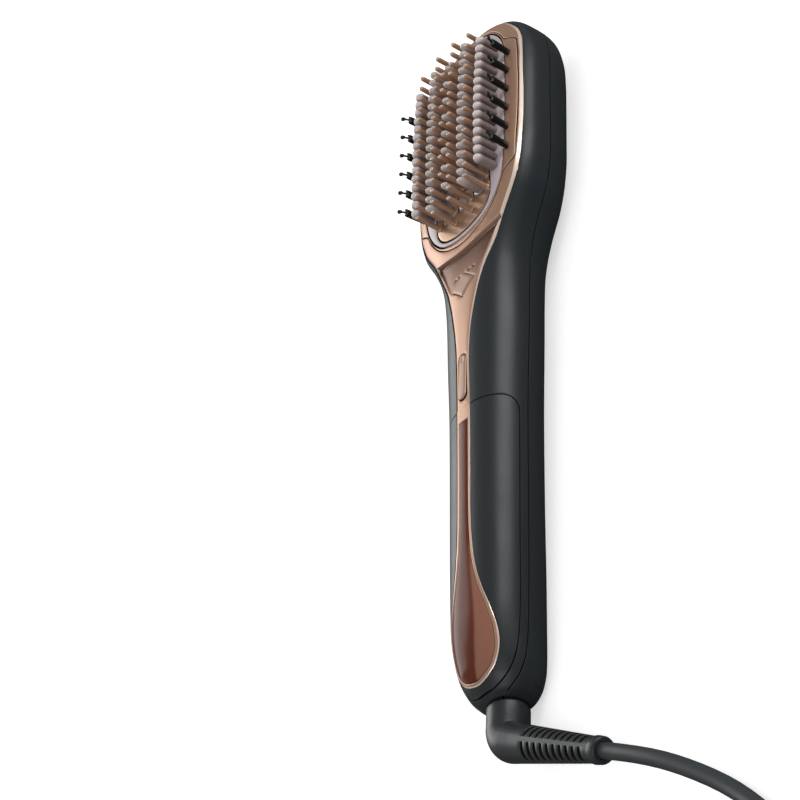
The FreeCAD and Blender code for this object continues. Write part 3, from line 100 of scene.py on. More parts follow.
@dataclass
class BrushForm:
    """The closed outer form of head, neck, grip and heel, with its seams and outlines.

    Rows of dome: distance below the tip, share of the head's half width, fall of the front,
    lift of the back, rim outside the bezel, squareness. Rows of throat: distance below the
    tip, share of the way from the neck's half width to the head's, rim, squareness. Rows of
    heel: distance above the butt, share of the heel's half width, fall, lift. Rows of tear:
    distance above the butt, half width of the gold teardrop. The rest are right-hand points
    measured from the middle of the brush face.
    """

    tip: float = 150.0
    head_half: float = 34.4
    neck_half: float = 18.4
    grip_half: float = 17.2
    heel_half: float = 16.2
    strip_half: float = 3.7
    face_high: float = 34.0
    neck_high: float = 32.3
    grip_high: float = 31.0
    heel_high: float = 28.8
    tip_mid_high: float = 19.0
    rest_cut: float = 0.4
    face_mid: float = 94.0
    crown: float = 670.0
    tank_front: float = -34.6
    swivel_high: float = 10.0
    dome_reach: float = 0.7
    back_square: float = 2.4
    scoop_deep: float = 2.0
    neck_lift: float = 2.4
    dome: tuple = (
        (0.0, 0.12, 7.4, 12.0, None, 2.6), (0.3, 0.218, 5.4, 10.0, None, 2.6),
        (1.6, 0.36, 3.5, 7.2, 5.4, 2.7), (4.3, 0.535, 1.6, 4.4, 3.2, 3.0),
        (9.6, 0.733, 0.4, 2.0, 3.6, 3.4), (19.4, 0.916, 0.0, 0.5, 2.6, 3.8),
        (30.0, 0.985, 0.0, 0.0, 2.5, 4.0), (41.0, 1.0, 0.0, 0.0, 2.5, 4.0),
        (72.0, 1.0, 0.0, 0.0, 2.5, 4.0))
    throat: tuple = (
        (83.2, 0.942, 2.7, 4.0), (93.8, 0.795, 3.3, 3.8), (104.4, 0.455, 4.0, 3.5),
        (111.5, 0.26, 4.4, 3.2), (116.8, 0.16, 5.3, 3.0), (122.1, 0.083, 7.0, 2.9),
        (127.5, 0.045, 8.8, 2.8), (138.1, 0.01, 11.4, 2.6), (148.7, 0.0, 13.4, 2.5),
        (159.3, -0.02, 14.2, 2.5))
    heel: tuple = (
        (0.0, 0.457, 11.5, 4.6), (1.1, 0.617, 9.4, 2.9), (2.4, 0.7, 8.0, 1.9),
        (4.2, 0.79, 6.4, 1.2), (6.0, 0.846, 5.2, 0.7), (11.3, 0.944, 2.9, 0.2),
        (20.2, 0.985, 1.0, 0.0), (29.0, 1.0, 0.2, 0.0))
    tear: tuple = (
        (3.8, 0.0), (4.15, 2.5), (4.75, 4.4), (5.6, 6.2), (7.8, 8.9), (12.4, 11.4),
        (20.6, 12.2), (29.0, 10.7), (38.0, 8.0), (46.7, 5.8), (55.6, 4.5), (64.5, 3.9),
        (73.0, 3.7))
    plate_end: tuple = (
        (0.0, 46.3), (5.7, 45.8), (10.7, 44.2), (14.0, 41.7), (15.8, 38.4), (16.3, 34.0))
    frame_line: tuple = (
        (0.0, 49.9), (5.7, 49.4), (12.1, 47.0), (17.0, 43.1), (20.2, 39.2), (22.9, 35.0),
        (26.2, 33.2), (28.5, 31.5), (29.2, 28.0), (29.8, 23.0), (30.3, 10.2),
        (30.1, -11.0), (29.4, -21.6), (28.5, -28.9), (26.0, -31.1), (23.2, -33.2),
        (20.2, -39.2), (15.6, -44.9), (8.5, -49.5), (0.0, -51.4))
    pad_edge: tuple = (
        (0.0, 1.0), (0.244, 0.988), (0.398, 0.965), (0.524, 0.936), (0.618, 0.901),
        (0.707, 0.856), (0.789, 0.802), (0.854, 0.742), (0.907, 0.676), (0.947, 0.586),
        (0.98, 0.454), (0.996, 0.258), (1.0, 0.0))

    def __post_init__(self) -> None:
        """Turn the tables into profiles along the form."""
        tip, butt, tank, lift = self.tip, -self.tip, self.tank_front, self.neck_lift
        self.butt, wider = butt, self.head_half - self.neck_half
        dome = [(tip - r[0], self.head_half * r[1], *r[2:]) for r in self.dome]
        throat = [(tip - r[0], self.neck_half + r[1] * wider, *r[2:]) for r in self.throat]
        heel = [(butt + r[0], self.heel_half * r[1], *r[2:]) for r in self.heel]
        self.half = Profile([r[:2] for r in dome + throat + heel] + [(tank, self.grip_half)])
        self.front = Profile(
            [(r[0], self.arc_high(r[0]) - r[2]) for r in dome]
            + [(r[0], self.arc_high(r[0])) for r in throat[:2]]
            + [(throat[k][0], self.neck_high) for k in (2, 7)] + [(tank, self.grip_high)]
            + [(r[0], self.heel_high - r[2]) for r in heel])
        self.back = Profile(
            [(r[0], r[3]) for r in dome + heel]
            + [(throat[k][0], lift * q) for k, q in ((0, 0.12), (2, 0.7), (5, 1), (8, 1))]
            + [(tank, 0.85 * lift), (butt + 75, 0.5 * lift), (butt + 45, 0.12 * lift)])
        self.middle = Profile([(tip, 20.0), (throat[1][0], 20.0), (throat[7][0], 16.5),
                               (tank, 15.5), (butt + 34, 14.9), (butt, self.swivel_high)])
        self.square = Profile([(r[0], r[-1]) for r in dome + throat]
                              + [(butt + 30, 2.5), (butt, 2.1)])
        self.seam = Profile([(butt - 10, 16.5), (butt + 1, 15.8), (butt + 6, 14.9),
                             (butt + 14, 14.3), (butt + 25, 14.2), (tank, 15.6),
                             (tip - 130, 16.4), (tip - 90, 18.2), (tip - 50, 19.0),
                             (tip + 10, 19.0)])
        self.dome_rim = [(r[0], r[1] - r[4]) for r in dome if r[4]]
        self.bezel_tip = [(tip - 0.75, 0.0), (tip - 0.95, 2.6), (tip - 1.2, 4.6)]
        self.bezel_half = Profile(
            self.bezel_tip + self.dome_rim + [(r[0], r[1] - r[2]) for r in throat]
            + [(tank + 14.0, self.strip_half), (tank, self.strip_half)])
        self.tear_half = Profile([(butt + a, x) for a, x in self.tear]
                                 + [(tank, self.strip_half)])

    def arc_high(self, y: Number) -> Number:
        """Height of the crowned brush face at y."""
        return self.face_high - (y - self.face_mid) ** 2 / (2 * self.crown)

    def section(self, y: Number, upper: np.ndarray) -> tuple:
        """Half width, middle, squareness and half height of the section, front or back.

        Args:
            y: places along the form.
            upper: whether the front is meant, for each place.

        Returns:
            The four measures, each for every place.
        """
        mid = self.middle(y)
        power = np.where(upper, self.square(y), self.back_square)
        rise = np.where(upper, self.front(y) - mid, mid - self.back(y) + self.rest_cut)
        return self.half(y), mid, power, rise

    def point(self, v: Number, angle: Number) -> np.ndarray:
        """Points of the skin.

        Args:
            v: place along the form; past either end it runs over the end cap, one unit wide.
            angle: angle round the section, in radians, from -pi/2 at the back's middle to
                pi/2 at the front's middle, on the right.

        Returns:
            An array of points with a last axis of three.
        """
        v, angle = np.broadcast_arrays(np.asarray(v, float), np.asarray(angle, float))
        y = np.clip(v, self.butt, self.tip)
        share = 1.0 - np.clip(np.abs(v) - self.tip, 0.0, 1.0)
        c, s = np.cos(angle), np.sin(angle)
        wide, mid, power, rise = self.section(y, s > 0)
        x = np.sign(c) * np.abs(c) ** (2 / power) * wide
        z = np.maximum(mid + np.sign(s) * np.abs(s) ** (2 / power) * rise, 0.0)
        centre = np.where(v > 0, self.tip_mid_high, self.swivel_high)
        roll = np.clip((y - self.tip + 3.0) / 3.0, 0.0, 1.0)
        ends = np.where(v > 0, y - self.dome_reach * roll ** 2 * share ** 2, y)
        return np.stack([x * share, ends, centre + (z - centre) * share], axis=-1)

    def top(self, x: Number, y: Number) -> Number:
        """Height of the front of the skin over the plan place (x, y).

        Args:
            x: places across.
            y: places along.

        Returns:
            The heights.
        """
        x, y = np.abs(np.asarray(x, float)), np.asarray(y, float)
        mid, power = self.middle(y), self.square(y)
        reach = np.clip(x / self.half(y), 0.0, 0.999)
        return mid + (self.front(y) - mid) * (1 - reach ** power) ** (1 / power)

    def side_angle(self, y: Number, z: Number) -> np.ndarray:
        """Angle round the section at which the skin at y is z high.

        Args:
            y: places along the form.
            z: heights.

        Returns:
            Angles in radians.
        """
        y, z = np.asarray(y, float), np.asarray(z, float)
        mid = self.middle(y)
        up = np.clip((z - mid) / (self.front(y) - mid), 0, 1) ** (self.square(y) / 2)
        low = np.clip((mid - z) / (mid - self.back(y) + self.rest_cut), 0, 1)
        return np.where(z > mid, np.arcsin(up), -np.arcsin(low ** (self.back_square / 2)))

    def plan_angle(self, x: Number, y: Number) -> np.ndarray:
        """Angle round the section at which the front of the skin at y is x out."""
        return np.arccos(np.clip(np.abs(x) / self.half(y), 0, 1) ** (self.square(y) / 2))

    def tank_seam(self, gap: float) -> np.ndarray:
        """(y, z) places down the tank's side seam, from its front corner to the butt.

        Args:
            gap: distance from the seam's middle, positive on the tank's side.

        Returns:
            An array of (y, z) rows.
        """
        corner, heel, grip = 5.5, 17.6, 19.0
        start, butt = self.tank_front - corner, self.butt
        turn = np.radians(np.linspace(0.0, 90.0, 13))
        bend = np.stack([start + (corner - gap) * np.cos(turn),
                         grip + corner - (corner - gap) * np.sin(turn)], -1)
        tail = Profile([(butt - 3, heel + 3.2), (butt + 1.0, heel + 1.8),
                        (butt + 4.5, heel + 1.0), (butt + 9, heel + 0.45),
                        (butt + 15, heel + 0.1), (butt + 24, heel), (butt + 60, heel + 0.59),
                        (start, grip)])
        ys = np.concatenate([np.linspace(start, butt + 16, 60)[1:],
                             np.linspace(butt + 16, butt, 40)[1:]])
        zs = tail(ys) + gap
        keep = zs < self.front(ys) - 0.02
        return np.concatenate([bend, np.stack([ys, zs], -1)[keep]])

    def outline(self, table: Sequence[tuple[float, float]]) -> Loop:
        """A dense smooth loop, clockwise from its top.

        Args:
            table: its right-hand points from top to bottom, from the face's middle.

        Returns:
            The loop's points.
        """
        right = np.array(table, float) + [0, self.face_mid]
        left = right[-2:0:-1] * [-1, 1]
        return [tuple(p) for p in smooth_line(np.concatenate([right, left]), True, 0.6)]


def smooth_line(points: np.ndarray, closed: bool, step: float) -> np.ndarray:
    """A centripetal spline through points, sampled at about even steps.

    Args:
        points: the places it passes through.
        closed: whether it joins up.
        step: distance between samples.

    Returns:
        The samples, without a repeated last one on a closed line.
    """
    n = len(points)
    if closed:
        ring = [points[k % n] for k in range(-1, n + 2)]
    else:
        ring = [2 * points[0] - points[1], *points, 2 * points[-1] - points[-2]]
    made = []
    for a, b, c, d in zip(ring, ring[1:], ring[2:], ring[3:]):
        knots = np.cumsum([0.0] + [max(np.linalg.norm(q - p), 1e-6) ** 0.5
                                   for p, q in ((a, b), (b, c), (c, d))])
        count = max(2, int(np.linalg.norm(c - b) / step))
        for t in knots[1] + (knots[2] - knots[1]) * np.arange(count) / count:
            def mix(p: np.ndarray, q: np.ndarray, i: int, j: int) -> np.ndarray:
                """Point between two others, weighed by where t lies between two knots."""
                return ((knots[j] - t) * p + (t - knots[i]) * q) / (knots[j] - knots[i])
            first, second, third = mix(a, b, 0, 1), mix(b, c, 1, 2), mix(c, d, 2, 3)
            made.append(mix(mix(first, second, 0, 2), mix(second, third, 1, 3), 1, 2))
    if not closed:
        made.append(np.asarray(points[-1], float))
    return np.array(made)


def arc_length(points: np.ndarray) -> np.ndarray:
    """Distance along a line at each of its points."""
    steps = np.linalg.norm(np.diff(points, axis=0), axis=1)
    return np.concatenate([[0.0], np.cumsum(steps)])


def even_line(points: np.ndarray, step: float) -> np.ndarray:
    """The same open line with its points an even distance apart."""
    run = arc_length(points)
    spots = np.linspace(0, run[-1], max(2, int(run[-1] / step) + 1))
    return np.stack([np.interp(spots, run, points[:, k]) for k in range(2)], -1)


FORM = BrushForm()


# ---------------------------------------------------------------- loops in plan
def turning(loop: np.ndarray) -> float:
    """Twice a loop's area, negative where it runs clockwise."""
    after = np.roll(loop, -1, 0)
    return float(np.sum(loop[:, 0] * after[:, 1] - after[:, 0] * loop[:, 1]))


def unit(rows: np.ndarray) -> np.ndarray:
    """Rows brought to a length of one."""
    return rows / (np.linalg.norm(rows, axis=1)[:, None] + 1e-12)


def moved_in(loop: Loop, inset: Number) -> Loop:
    """A closed loop drawn inwards, square to itself; a negative inset grows it.

    Args:
        loop: points in order, either way round.
        inset: one distance, or one for each point.

    Returns:
        As many points as the loop has.
    """
    p = np.array(loop, float)
    one, two = unit(p - np.roll(p, 1, 0)), unit(np.roll(p, -1, 0) - p)
    n1 = one[:, ::-1] * [-1, 1]
    n = unit(n1 + two[:, ::-1] * [-1, 1])
    miter = 1 / np.clip(np.sum(n * n1, axis=1), 0.55, 1.0)
    side = 1.0 if turning(p) > 0 else -1.0
    return [tuple(q) for q in p + n * (side * np.asarray(inset) * miter)[:, None]]


def rounded_slot(wide: float, low: float, high: float, x: float = 0.0,
                 corner: Optional[float] = None, grow: float = 0.0, step: float = 0.5) -> Loop:
    """A rectangle in plan with round corners, or with round ends where no corner is given.

    Args:
        wide: its width.
        low: its lower end.
        high: its upper end.
        x: place of its middle line.
        corner: radius of its corners.
        grow: how far every side is moved out.
        step: distance between points.

    Returns:
        The loop's points.
    """
    short = min(wide, high - low)
    radius = short / 2 if corner is None else min(corner, short / 2)
    w, low, high, r = wide / 2 + grow, low - grow, high + grow, radius + grow
    points: Loop = []
    turns = max(4, int(r * math.pi / 2 / step))
    for k, (sx, sy) in enumerate(((1, 1), (-1, 1), (-1, -1), (1, -1))):
        cx, cy = x + sx * (w - r), (high - r) if sy > 0 else (low + r)
        for i in range(turns + 1):
            a = math.pi / 2 * (k + i / turns)
            points.append((cx + r * math.cos(a), cy + r * math.sin(a)))
    return dense(points, step)


def dense(loop: Iterable[tuple[float, float]], step: float) -> Loop:
    """The loop with its long straight runs divided and its repeated points left out.

    Args:
        loop: points in order.
        step: about the distance between the new points.

    Returns:
        The new loop.
    """
    loop, made = [tuple(p) for p in loop], []
    for (x0, y0), (x1, y1) in zip(loop, loop[1:] + loop[:1]):
        run = math.hypot(x1 - x0, y1 - y0)
        if run > 1e-5:
            count = max(1, round(run / step))
            made += [(x0 + (x1 - x0) * k / count, y0 + (y1 - y0) * k / count)
                     for k in range(count)]
    return made


def inside(points: np.ndarray, loop: Loop, *holes: Loop) -> np.ndarray:
    """Which points lie inside a closed loop in plan, and in none of its holes.

    Args:
        points: the places.
        loop: the outline.
        holes: outlines of its holes.

    Returns:
        True or False for each place.
    """
    x0, y0 = np.array(loop, float).T
    x, y = points[:, 0][:, None], points[:, 1][:, None]
    x1, y1 = np.roll(x0, -1), np.roll(y0, -1)
    with np.errstate(divide="ignore", invalid="ignore"):
        at = x0 + (y - y0) * (x1 - x0) / (y1 - y0)
    good = (np.sum(((y0 > y) != (y1 > y)) & (x < at), axis=1) % 2).astype(bool)
    for hole in holes:
        good &= ~inside(points, hole)
    return good


# ---------------------------------------------------------------- shapes
@dataclass
class Shape:
    """Corners in millimetres and faces that become one Blender object."""

    verts: list = field(default_factory=list)
    faces: list = field(default_factory=list)
    tones: list = field(default_factory=list)

    def add(self, verts: Iterable, faces: Iterable, tones: Optional[Sequence[int]] = None) -> None:
        """Append corners and faces, and the number of each face's material.

        Args:
            verts: corners in millimetres.
            faces: rows of corner numbers.
            tones: material number of each face, or None for the first material.
        """
        start = len(self.verts)
        self.verts += [tuple(float(c) for c in v) for v in verts]
        self.faces += [tuple(start + int(i) for i in f) for f in faces]
        self.tones += tones or [0] * (len(self.faces) - len(self.tones))

    def grid(self, points: np.ndarray, ring: bool = False, flip: bool = False,
             strips: Optional[Sequence[int]] = None) -> None:
        """Append a grid of points as quads.

        Args:
            points: an array of rows, columns and three coordinates.
            ring: whether the last column joins the first.
            flip: whether the faces look the other way.
            strips: material number of each strip between two rows.
        """
        rows, cols = points.shape[:2]
        across = cols if ring else cols - 1
        quads = []
        for i in range(rows - 1):
            for j in range(across):
                k = (j + 1) % cols
                quad = (i * cols + j, i * cols + k, (i + 1) * cols + k, (i + 1) * cols + j)
                quads.append(quad[::-1] if flip else quad)
        self.add(points.reshape(-1, 3), quads,
                 [tone for tone in strips for _ in range(across)] if strips else None)

    def both_sides(self, points: np.ndarray) -> None:
        """Append a grid and its mirror image across the middle plane."""
        self.grid(points)
        self.grid(points * [-1, 1, 1], flip=True)

    def fan(self, ring: np.ndarray, centre: Sequence[float], flip: bool = False) -> None:
        """Append a fan of triangles that closes a ring."""
        n = len(ring)
        tris = [(k, (k + 1) % n, n) for k in range(n)]
        self.add([*ring, centre], [t[::-1] if flip else t for t in tris])

    def object(self, name: str, *finishes: "Finish", sharp: float = 40.0, merge: float = 1e-4,
               outward: bool = False) -> Object:
        """The finished object, in metres, smooth but for edges sharper than an angle.

        Args:
            name: the object's name.
            finishes: its finishes, in the order of the faces' numbers.
            sharp: angle in degrees past which an edge stays sharp.
            merge: distance in millimetres within which corners are joined.
            outward: whether the faces are turned to look outwards.

        Returns:
            The object, linked to the scene.
        """
        mesh = bpy.data.meshes.new(name)
        mesh.from_pydata([(x * MM, y * MM, z * MM) for x, y, z in self.verts], [], self.faces)
        for finish in finishes:
            mesh.materials.append(PALETTE[finish])
        mesh.polygons.foreach_set("material_index", self.tones)
        work = bmesh.new()
        work.from_mesh(mesh)
        bmesh.ops.remove_doubles(work, verts=work.verts, dist=merge * MM)
        if outward:
            bmesh.ops.recalc_face_normals(work, faces=work.faces)
        work.to_mesh(mesh)
        work.free()
        return finished(name, mesh, sharp)


def linked(name: str, data: bpy.types.ID) -> Object:
    """A new object in the scene."""
    made = bpy.data.objects.new(name, data)
    bpy.context.scene.collection.objects.link(made)
    return made


def smooth(mesh: bpy.types.Mesh, sharp: float) -> None:
    """Shade a mesh smooth but for edges sharper than an angle in degrees."""
    mesh.shade_smooth()
    mesh.set_sharp_from_angle(angle=math.radians(sharp))


def finished(name: str, mesh: bpy.types.Mesh, sharp: float = 40.0) -> Object:
    """An object for a mesh that has its materials, shaded smooth."""
    smooth(mesh, sharp)
    log.info("%s: %d faces", name, len(mesh.polygons))
    return linked(name, mesh)


def mark(obj: Object, label: str, values: np.ndarray) -> None:
    """Give each corner of an object's mesh a number that its finish reads."""
    layer = obj.data.attributes.new(label, "FLOAT", "POINT")
    layer.data.foreach_set("value", values.astype(np.float32))


def corners(mesh: bpy.types.Mesh) -> np.ndarray:
    """A mesh's corners in millimetres."""
    return np.array([v.co for v in mesh.vertices]) / MM


SOFT_EDGE: Edge = ((0.34, 0.0), (0.2, 0.03), (0.08, 0.12), (0.0, 0.3))
FINE_EDGE: Edge = ((0.16, 0.0), (0.05, 0.05), (0.0, 0.16))


@dataclass
class Panel:
    """A plate cut to an outline in plan that follows a curved face, with rolled edges.

    An edge is a row of (inset, drop) pairs from the face outwards. Cut names the strips of
    the outer edge that have the third material, a lighter gold that paints a highlight there,
    and wall is the walls' material, which paints shade into the gaps where it is the dark one.
    """

    outer: Loop
    high: Callable
    holes: list[Loop] = field(default_factory=list)
    edge: Edge = SOFT_EDGE
    hole_edge: Edge = SOFT_EDGE
    edge_scale: Optional[Callable] = None
    deep: float = 1.8
    pitch: float = 1.2
    creases: list[Loop] = field(default_factory=list)
    cut: tuple = ()
    wall: int = 1

    def into(self, shape: Shape) -> None:
        """Add the plate's face, its rolled edges and its walls to a shape.

        Args:
            shape: what it is added to.
        """
        rims = []
        loops = [(self.outer, self.edge, 1.0)] + [(one, self.hole_edge, -1.0)
                                                  for one in self.holes]
        for loop, edge, sign in loops:
            outer, scale = sign > 0, np.ones(len(loop))
            if self.edge_scale and outer:
                scale = self.edge_scale(np.array(loop))
            rings = []
            for inset, drop in (*edge, (0.0, self.deep)):
                ring = np.array(moved_in(loop, sign * inset * scale))
                fall = drop * np.minimum(scale if drop < self.deep else 1.0, 1.6)
                rings.append(np.column_stack([ring, self.high(*ring.T) - fall]))
            strips = [2 if k in self.cut and outer else 0 for k in range(len(edge) - 1)]
            shape.grid(np.array(rings), ring=True, strips=[*strips, self.wall],
                       flip=(turning(np.array(loop)) < 0) != outer)
            rims.append([tuple(p[:2]) for p in rings[0]])
        self._fill(shape, rims)

    def _fill(self, shape: Shape, rims: list[Loop]) -> None:
        """Add the face between the rims as triangles with inner points on a hexagon grid.

        Args:
            shape: what it is added to.
            rims: the outer rim, then each hole's.
        """
        spots, lines = [], []
        for line, closed in [(r, 1) for r in rims] + [(c, 0) for c in self.creases]:
            n, start = len(line), len(spots)
            lines += [(start + k, start + (k + 1) % n) for k in range(n - 1 + closed)]
            spots += line
        edge_points = np.array(spots)
        low, high = np.array(rims[0]).min(0), np.array(rims[0]).max(0)
        tall = self.pitch * math.sqrt(0.75)
        grid = np.array([(low[0] + (i + 0.5 * (j % 2)) * self.pitch, low[1] + j * tall)
                         for j in range(int((high[1] - low[1]) / tall) + 2)
                         for i in range(int((high[0] - low[0]) / self.pitch) + 2)])
        grid = grid[inside(grid, *rims)]
        if len(grid):
            near = np.array([np.min(np.sum((edge_points - g) ** 2, axis=1)) for g in grid])
            grid = grid[near > (0.62 * self.pitch) ** 2]
        every = [Vector(p) for p in spots] + [Vector(p) for p in grid]
        flat, _, tris, *_ = delaunay_2d_cdt(every, lines, [], 0, 1e-7)
        flat, tris = np.array([(v.x, v.y) for v in flat]), np.array(tris)
        tris = tris[inside(flat[tris].mean(axis=1), *rims)]
        a, b, c = (flat[tris[:, k]] for k in range(3))
        ab, ac = b - a, c - a
        faces = [t if w > 0 else t[::-1]
                 for t, w in zip(tris, ab[:, 0] * ac[:, 1] - ac[:, 0] * ab[:, 1])]
        shape.add(np.column_stack([flat, self.high(*flat.T)]), faces)


# ---------------------------------------------------------------- finishes
def rgb(code: str) -> tuple[float, float, float, float]:
    """Linear colour of an sRGB hex code."""
    parts = [int(code[k:k + 2], 16) / 255 for k in (0, 2, 4)]
    line = [c / 12.92 if c <= 0.04045 else ((c + 0.055) / 1.055) ** 2.4 for c in parts]
    return (line[0], line[1], line[2], 1.0)


class Texture(Enum):
    """Fine relief of a finish."""

    MOULDED = 1
    FLAKE = 2
    BRUSHED = 3
    WOVEN = 4


@dataclass(frozen=True)
class Finish:
    """Everything that sets one material; a slot is named where it isn't the finish's name."""

    name: str
    color: str
    rough: float
    metal: float = 0.0
    coat: float = 0.0
    coat_rough: float = 0.08
    clear: float = 0.0
    ior: float = 1.46
    worn: str = ""
    wear: float = 0.0
    shift: float = 0.06
    smudge: float = 0.06
    texture: Texture = Texture.MOULDED
    relief: float = 0.25
    grain: float = 900.0
    soft: float = 0.0
    # tip is a colour mixed in between two heights above the crowned face: a painted highlight on
    # the tops of pins and blades, and, where the base colour is darker, painted shade lower down
    # among them.
    tip: str = ""
    lit_tip_from: float = 0.0
    lit_tip_to: float = 10.0
    slot: str = ""


CHARCOAL = Finish("charcoal_satin", "24292C", 0.40, shift=0.05, smudge=0.07, relief=0.35,
                  grain=2600.0, worn="4A5052", wear=0.25, slot="charcoal")
ROSE_GOLD = Finish("rose_gold_satin", "BC957D", 0.40, metal=0.62, texture=Texture.FLAKE,
                   relief=0.10, grain=5200.0, shift=0.05, smudge=0.05, worn="F6DCC8",
                   wear=0.75, slot="rose_gold")
BUTTON_GOLD = Finish("button_gold", "AC8C79", 0.42, metal=0.45, texture=Texture.FLAKE,
                     relief=0.08, grain=5200.0, worn="F6DCC8", wear=0.7, slot="rose_gold")
BRONZE = Finish("plate_bronze", "AC8C74", 0.36, metal=0.82, texture=Texture.FLAKE,
                relief=0.12, grain=4200.0, worn="E9C4A6", wear=0.5, shift=0.08)
# The pins' light tips are a painted highlight.
PIN_BRONZE = Finish("pin_bronze", "B8937A", 0.32, metal=0.5, coat=0.4, texture=Texture.FLAKE,
                    relief=0.08, grain=4200.0, worn="E2BFA4", wear=0.4, tip="DCC4B2",
                    lit_tip_from=10.1, lit_tip_to=10.8, slot="plate_bronze")
# Lighter copy of rose gold for the outer chamfer strips: a painted highlight.
PAINTED_HIGHLIGHT_GOLD = Finish("rose_gold_cut", "F3DCCB", 0.26, metal=0.45, coat=0.2, texture=Texture.FLAKE,
                  relief=0.05, grain=5200.0, shift=0.03, smudge=0.03, slot="rose_gold")
# The comb blades turn lighter towards their tips: painted light on the tips.
SMOKE = Finish("smoke_clear", "AC9A96", 0.12, clear=0.38, ior=1.49, coat=0.8, relief=0.04,
               shift=0.03, tip="F2E8E4", lit_tip_from=3.0)
LAVENDER = Finish("lavender_silicone", "BDB1B4", 0.34, soft=0.12, coat=0.12, coat_rough=0.3,
                  relief=0.18, grain=1800.0, shift=0.04)
# The guard blades are dark at the foot and light at the tip: painted shade low between them and
# painted light on their tips.
GUARD_BLADE = Finish("guard_blade", "7E706D", 0.28, soft=0.1, coat=0.35, coat_rough=0.12,
                     relief=0.12, grain=1800.0, shift=0.04, tip="DED3D1", lit_tip_from=5.5,
                     lit_tip_to=9.3, slot="lavender_silicone")
BRISTLE = Finish("bristle_black", "070707", 0.3, coat=0.25, ior=1.4, relief=0.05, grain=1500.0,
                 worn="3A3A3A", wear=0.2, slot="black_nylon")
NYLON = Finish("black_nylon", "141414", 0.22, coat=0.45, relief=0.08, grain=1500.0,
               worn="3A3A3A", wear=0.2)
# Black of the dark inner parts, and painted shade on the walls of gaps, seams and slots.
BLACK_AND_GAP_SHADE = Finish("inner_black", "0B0C0C", 0.62, relief=0.3, grain=1600.0)
ALUMINIUM = Finish("cast_aluminium", "B9BBBD", 0.42, metal=1.0, texture=Texture.BRUSHED)
TRAY = Finish("tray_ivory", "D9D2BF", 0.5, relief=0.2)
STEEL = Finish("steel", "B5B6B8", 0.28, metal=1.0, texture=Texture.BRUSHED, relief=0.15)
CERAMIC = Finish("heater_ceramic", "E8E4DA", 0.7, relief=0.4)
LENS = Finish("lens_smoke", "1A1412", 0.12, coat=0.6, relief=0.02)
LED = Finish("led_white", "F2F0E6", 0.3)
BOARD = Finish("board_green", "1F5B3A", 0.38, coat=0.3, texture=Texture.WOVEN, relief=0.15)
HOSE = Finish("hose_silicone", "D8D8D4", 0.35, clear=0.35, coat=0.1)
SLEEVE = Finish("lead_sleeve", "ECE7DA", 0.55, texture=Texture.WOVEN, relief=0.4, grain=1400.0)
BRASS = Finish("contact_brass", "C9A561", 0.3, metal=1.0, texture=Texture.BRUSHED)
RUBBER = Finish("lead_rubber", "34383B", 0.47, relief=0.45, grain=2200.0, smudge=0.1,
                worn="55595B", wear=0.3)
ELBOW_RUBBER = Finish("elbow_rubber", "262A2C", 0.42, relief=0.3, grain=2200.0, smudge=0.1,
                      worn="474C4F", wear=0.35, coat=0.12, coat_rough=0.25, slot="lead_rubber")
TIE = Finish("tie_fabric", "202122", 0.85, texture=Texture.WOVEN, relief=0.9, grain=1500.0)
NICKEL = Finish("pin_nickel", "C9C7C2", 0.2, metal=1.0, texture=Texture.BRUSHED, relief=0.1)
# Base of the tank window; lighter painted reflections are mixed over it along both sides.
COPPER_WINDOW = Finish("copper_window", "6A3B2C", 0.2, relief=0.02, ior=1.16)


class Wiring:
    """Short ways to add nodes to one node tree."""

    def __init__(self, tree: bpy.types.NodeTree) -> None:
        """Remember the tree that the nodes go in."""
        self.tree = tree

    def add(self, kind: str, props: Optional[dict] = None, **inputs: Value) -> bpy.types.Node:
        """Add a node.

        Args:
            kind: the node's type name.
            props: attributes set on the node first.
            inputs: values or output sockets for its inputs; a name's underscores stand for
                spaces, and a name such as in0 is the input's number.

        Returns:
            The node.
        """
        node = self.tree.nodes.new(kind)
        for key, value in (props or {}).items():
            setattr(node, key, value)
        for key, value in inputs.items():
            number = key[2:].isdigit() and key.startswith("in")
            socket = node.inputs[int(key[2:])] if number else node.inputs[key.replace("_", " ")]
            if isinstance(value, Socket):
                self.tree.links.new(value, socket)
            else:
                socket.default_value = value
        return node

    def math(self, operation: str, *values: Value) -> Socket:
        """Output of a math node."""
        return self.add("ShaderNodeMath", {"operation": operation},
                        **{f"in{k}": v for k, v in enumerate(values)}).outputs[0]

    def vector(self, operation: str, **inputs: Value) -> bpy.types.Node:
        """A vector math node."""
        return self.add("ShaderNodeVectorMath", {"operation": operation}, **inputs)

    def mix(self, factor: Value, one: Value, two: Value) -> Socket:
        """Output of a colour mix."""
        return self.add("ShaderNodeMix", {"data_type": "RGBA"},
                        in0=factor, in6=one, in7=two).outputs[2]

    def spot(self) -> Socket:
        """Object coordinates."""
        return self.add("ShaderNodeTexCoord").outputs["Object"]

    def noise(self, **inputs: float) -> Socket:
        """Level of a noise in object coordinates."""
        return self.add("ShaderNodeTexNoise", Vector=self.spot(), **inputs).outputs[0]

    def cells(self, spot: Socket, scale: Socket) -> Socket:
        """A random level for each cell of a Voronoi pattern."""
        cell = self.add("ShaderNodeTexVoronoi", Vector=spot, Scale=scale).outputs[1]
        return self.add("ShaderNodeSeparateColor", Color=cell).outputs[0]

    def carried(self, label: str) -> Socket:
        """A number that the mesh carries at its corners."""
        return self.add("ShaderNodeAttribute", {"attribute_name": label}).outputs["Fac"]

    def group(self, tree: bpy.types.NodeTree, **inputs: Value) -> Socket:
        """Output of a shared group."""
        return self.add("ShaderNodeGroup", {"node_tree": tree}, **inputs).outputs[0]


def emptied(owner: bpy.types.ID) -> Wiring:
    """Wiring of a material's or world's own tree, with nothing in it yet."""
    owner.use_nodes = True
    owner.node_tree.nodes.clear()
    return Wiring(owner.node_tree)


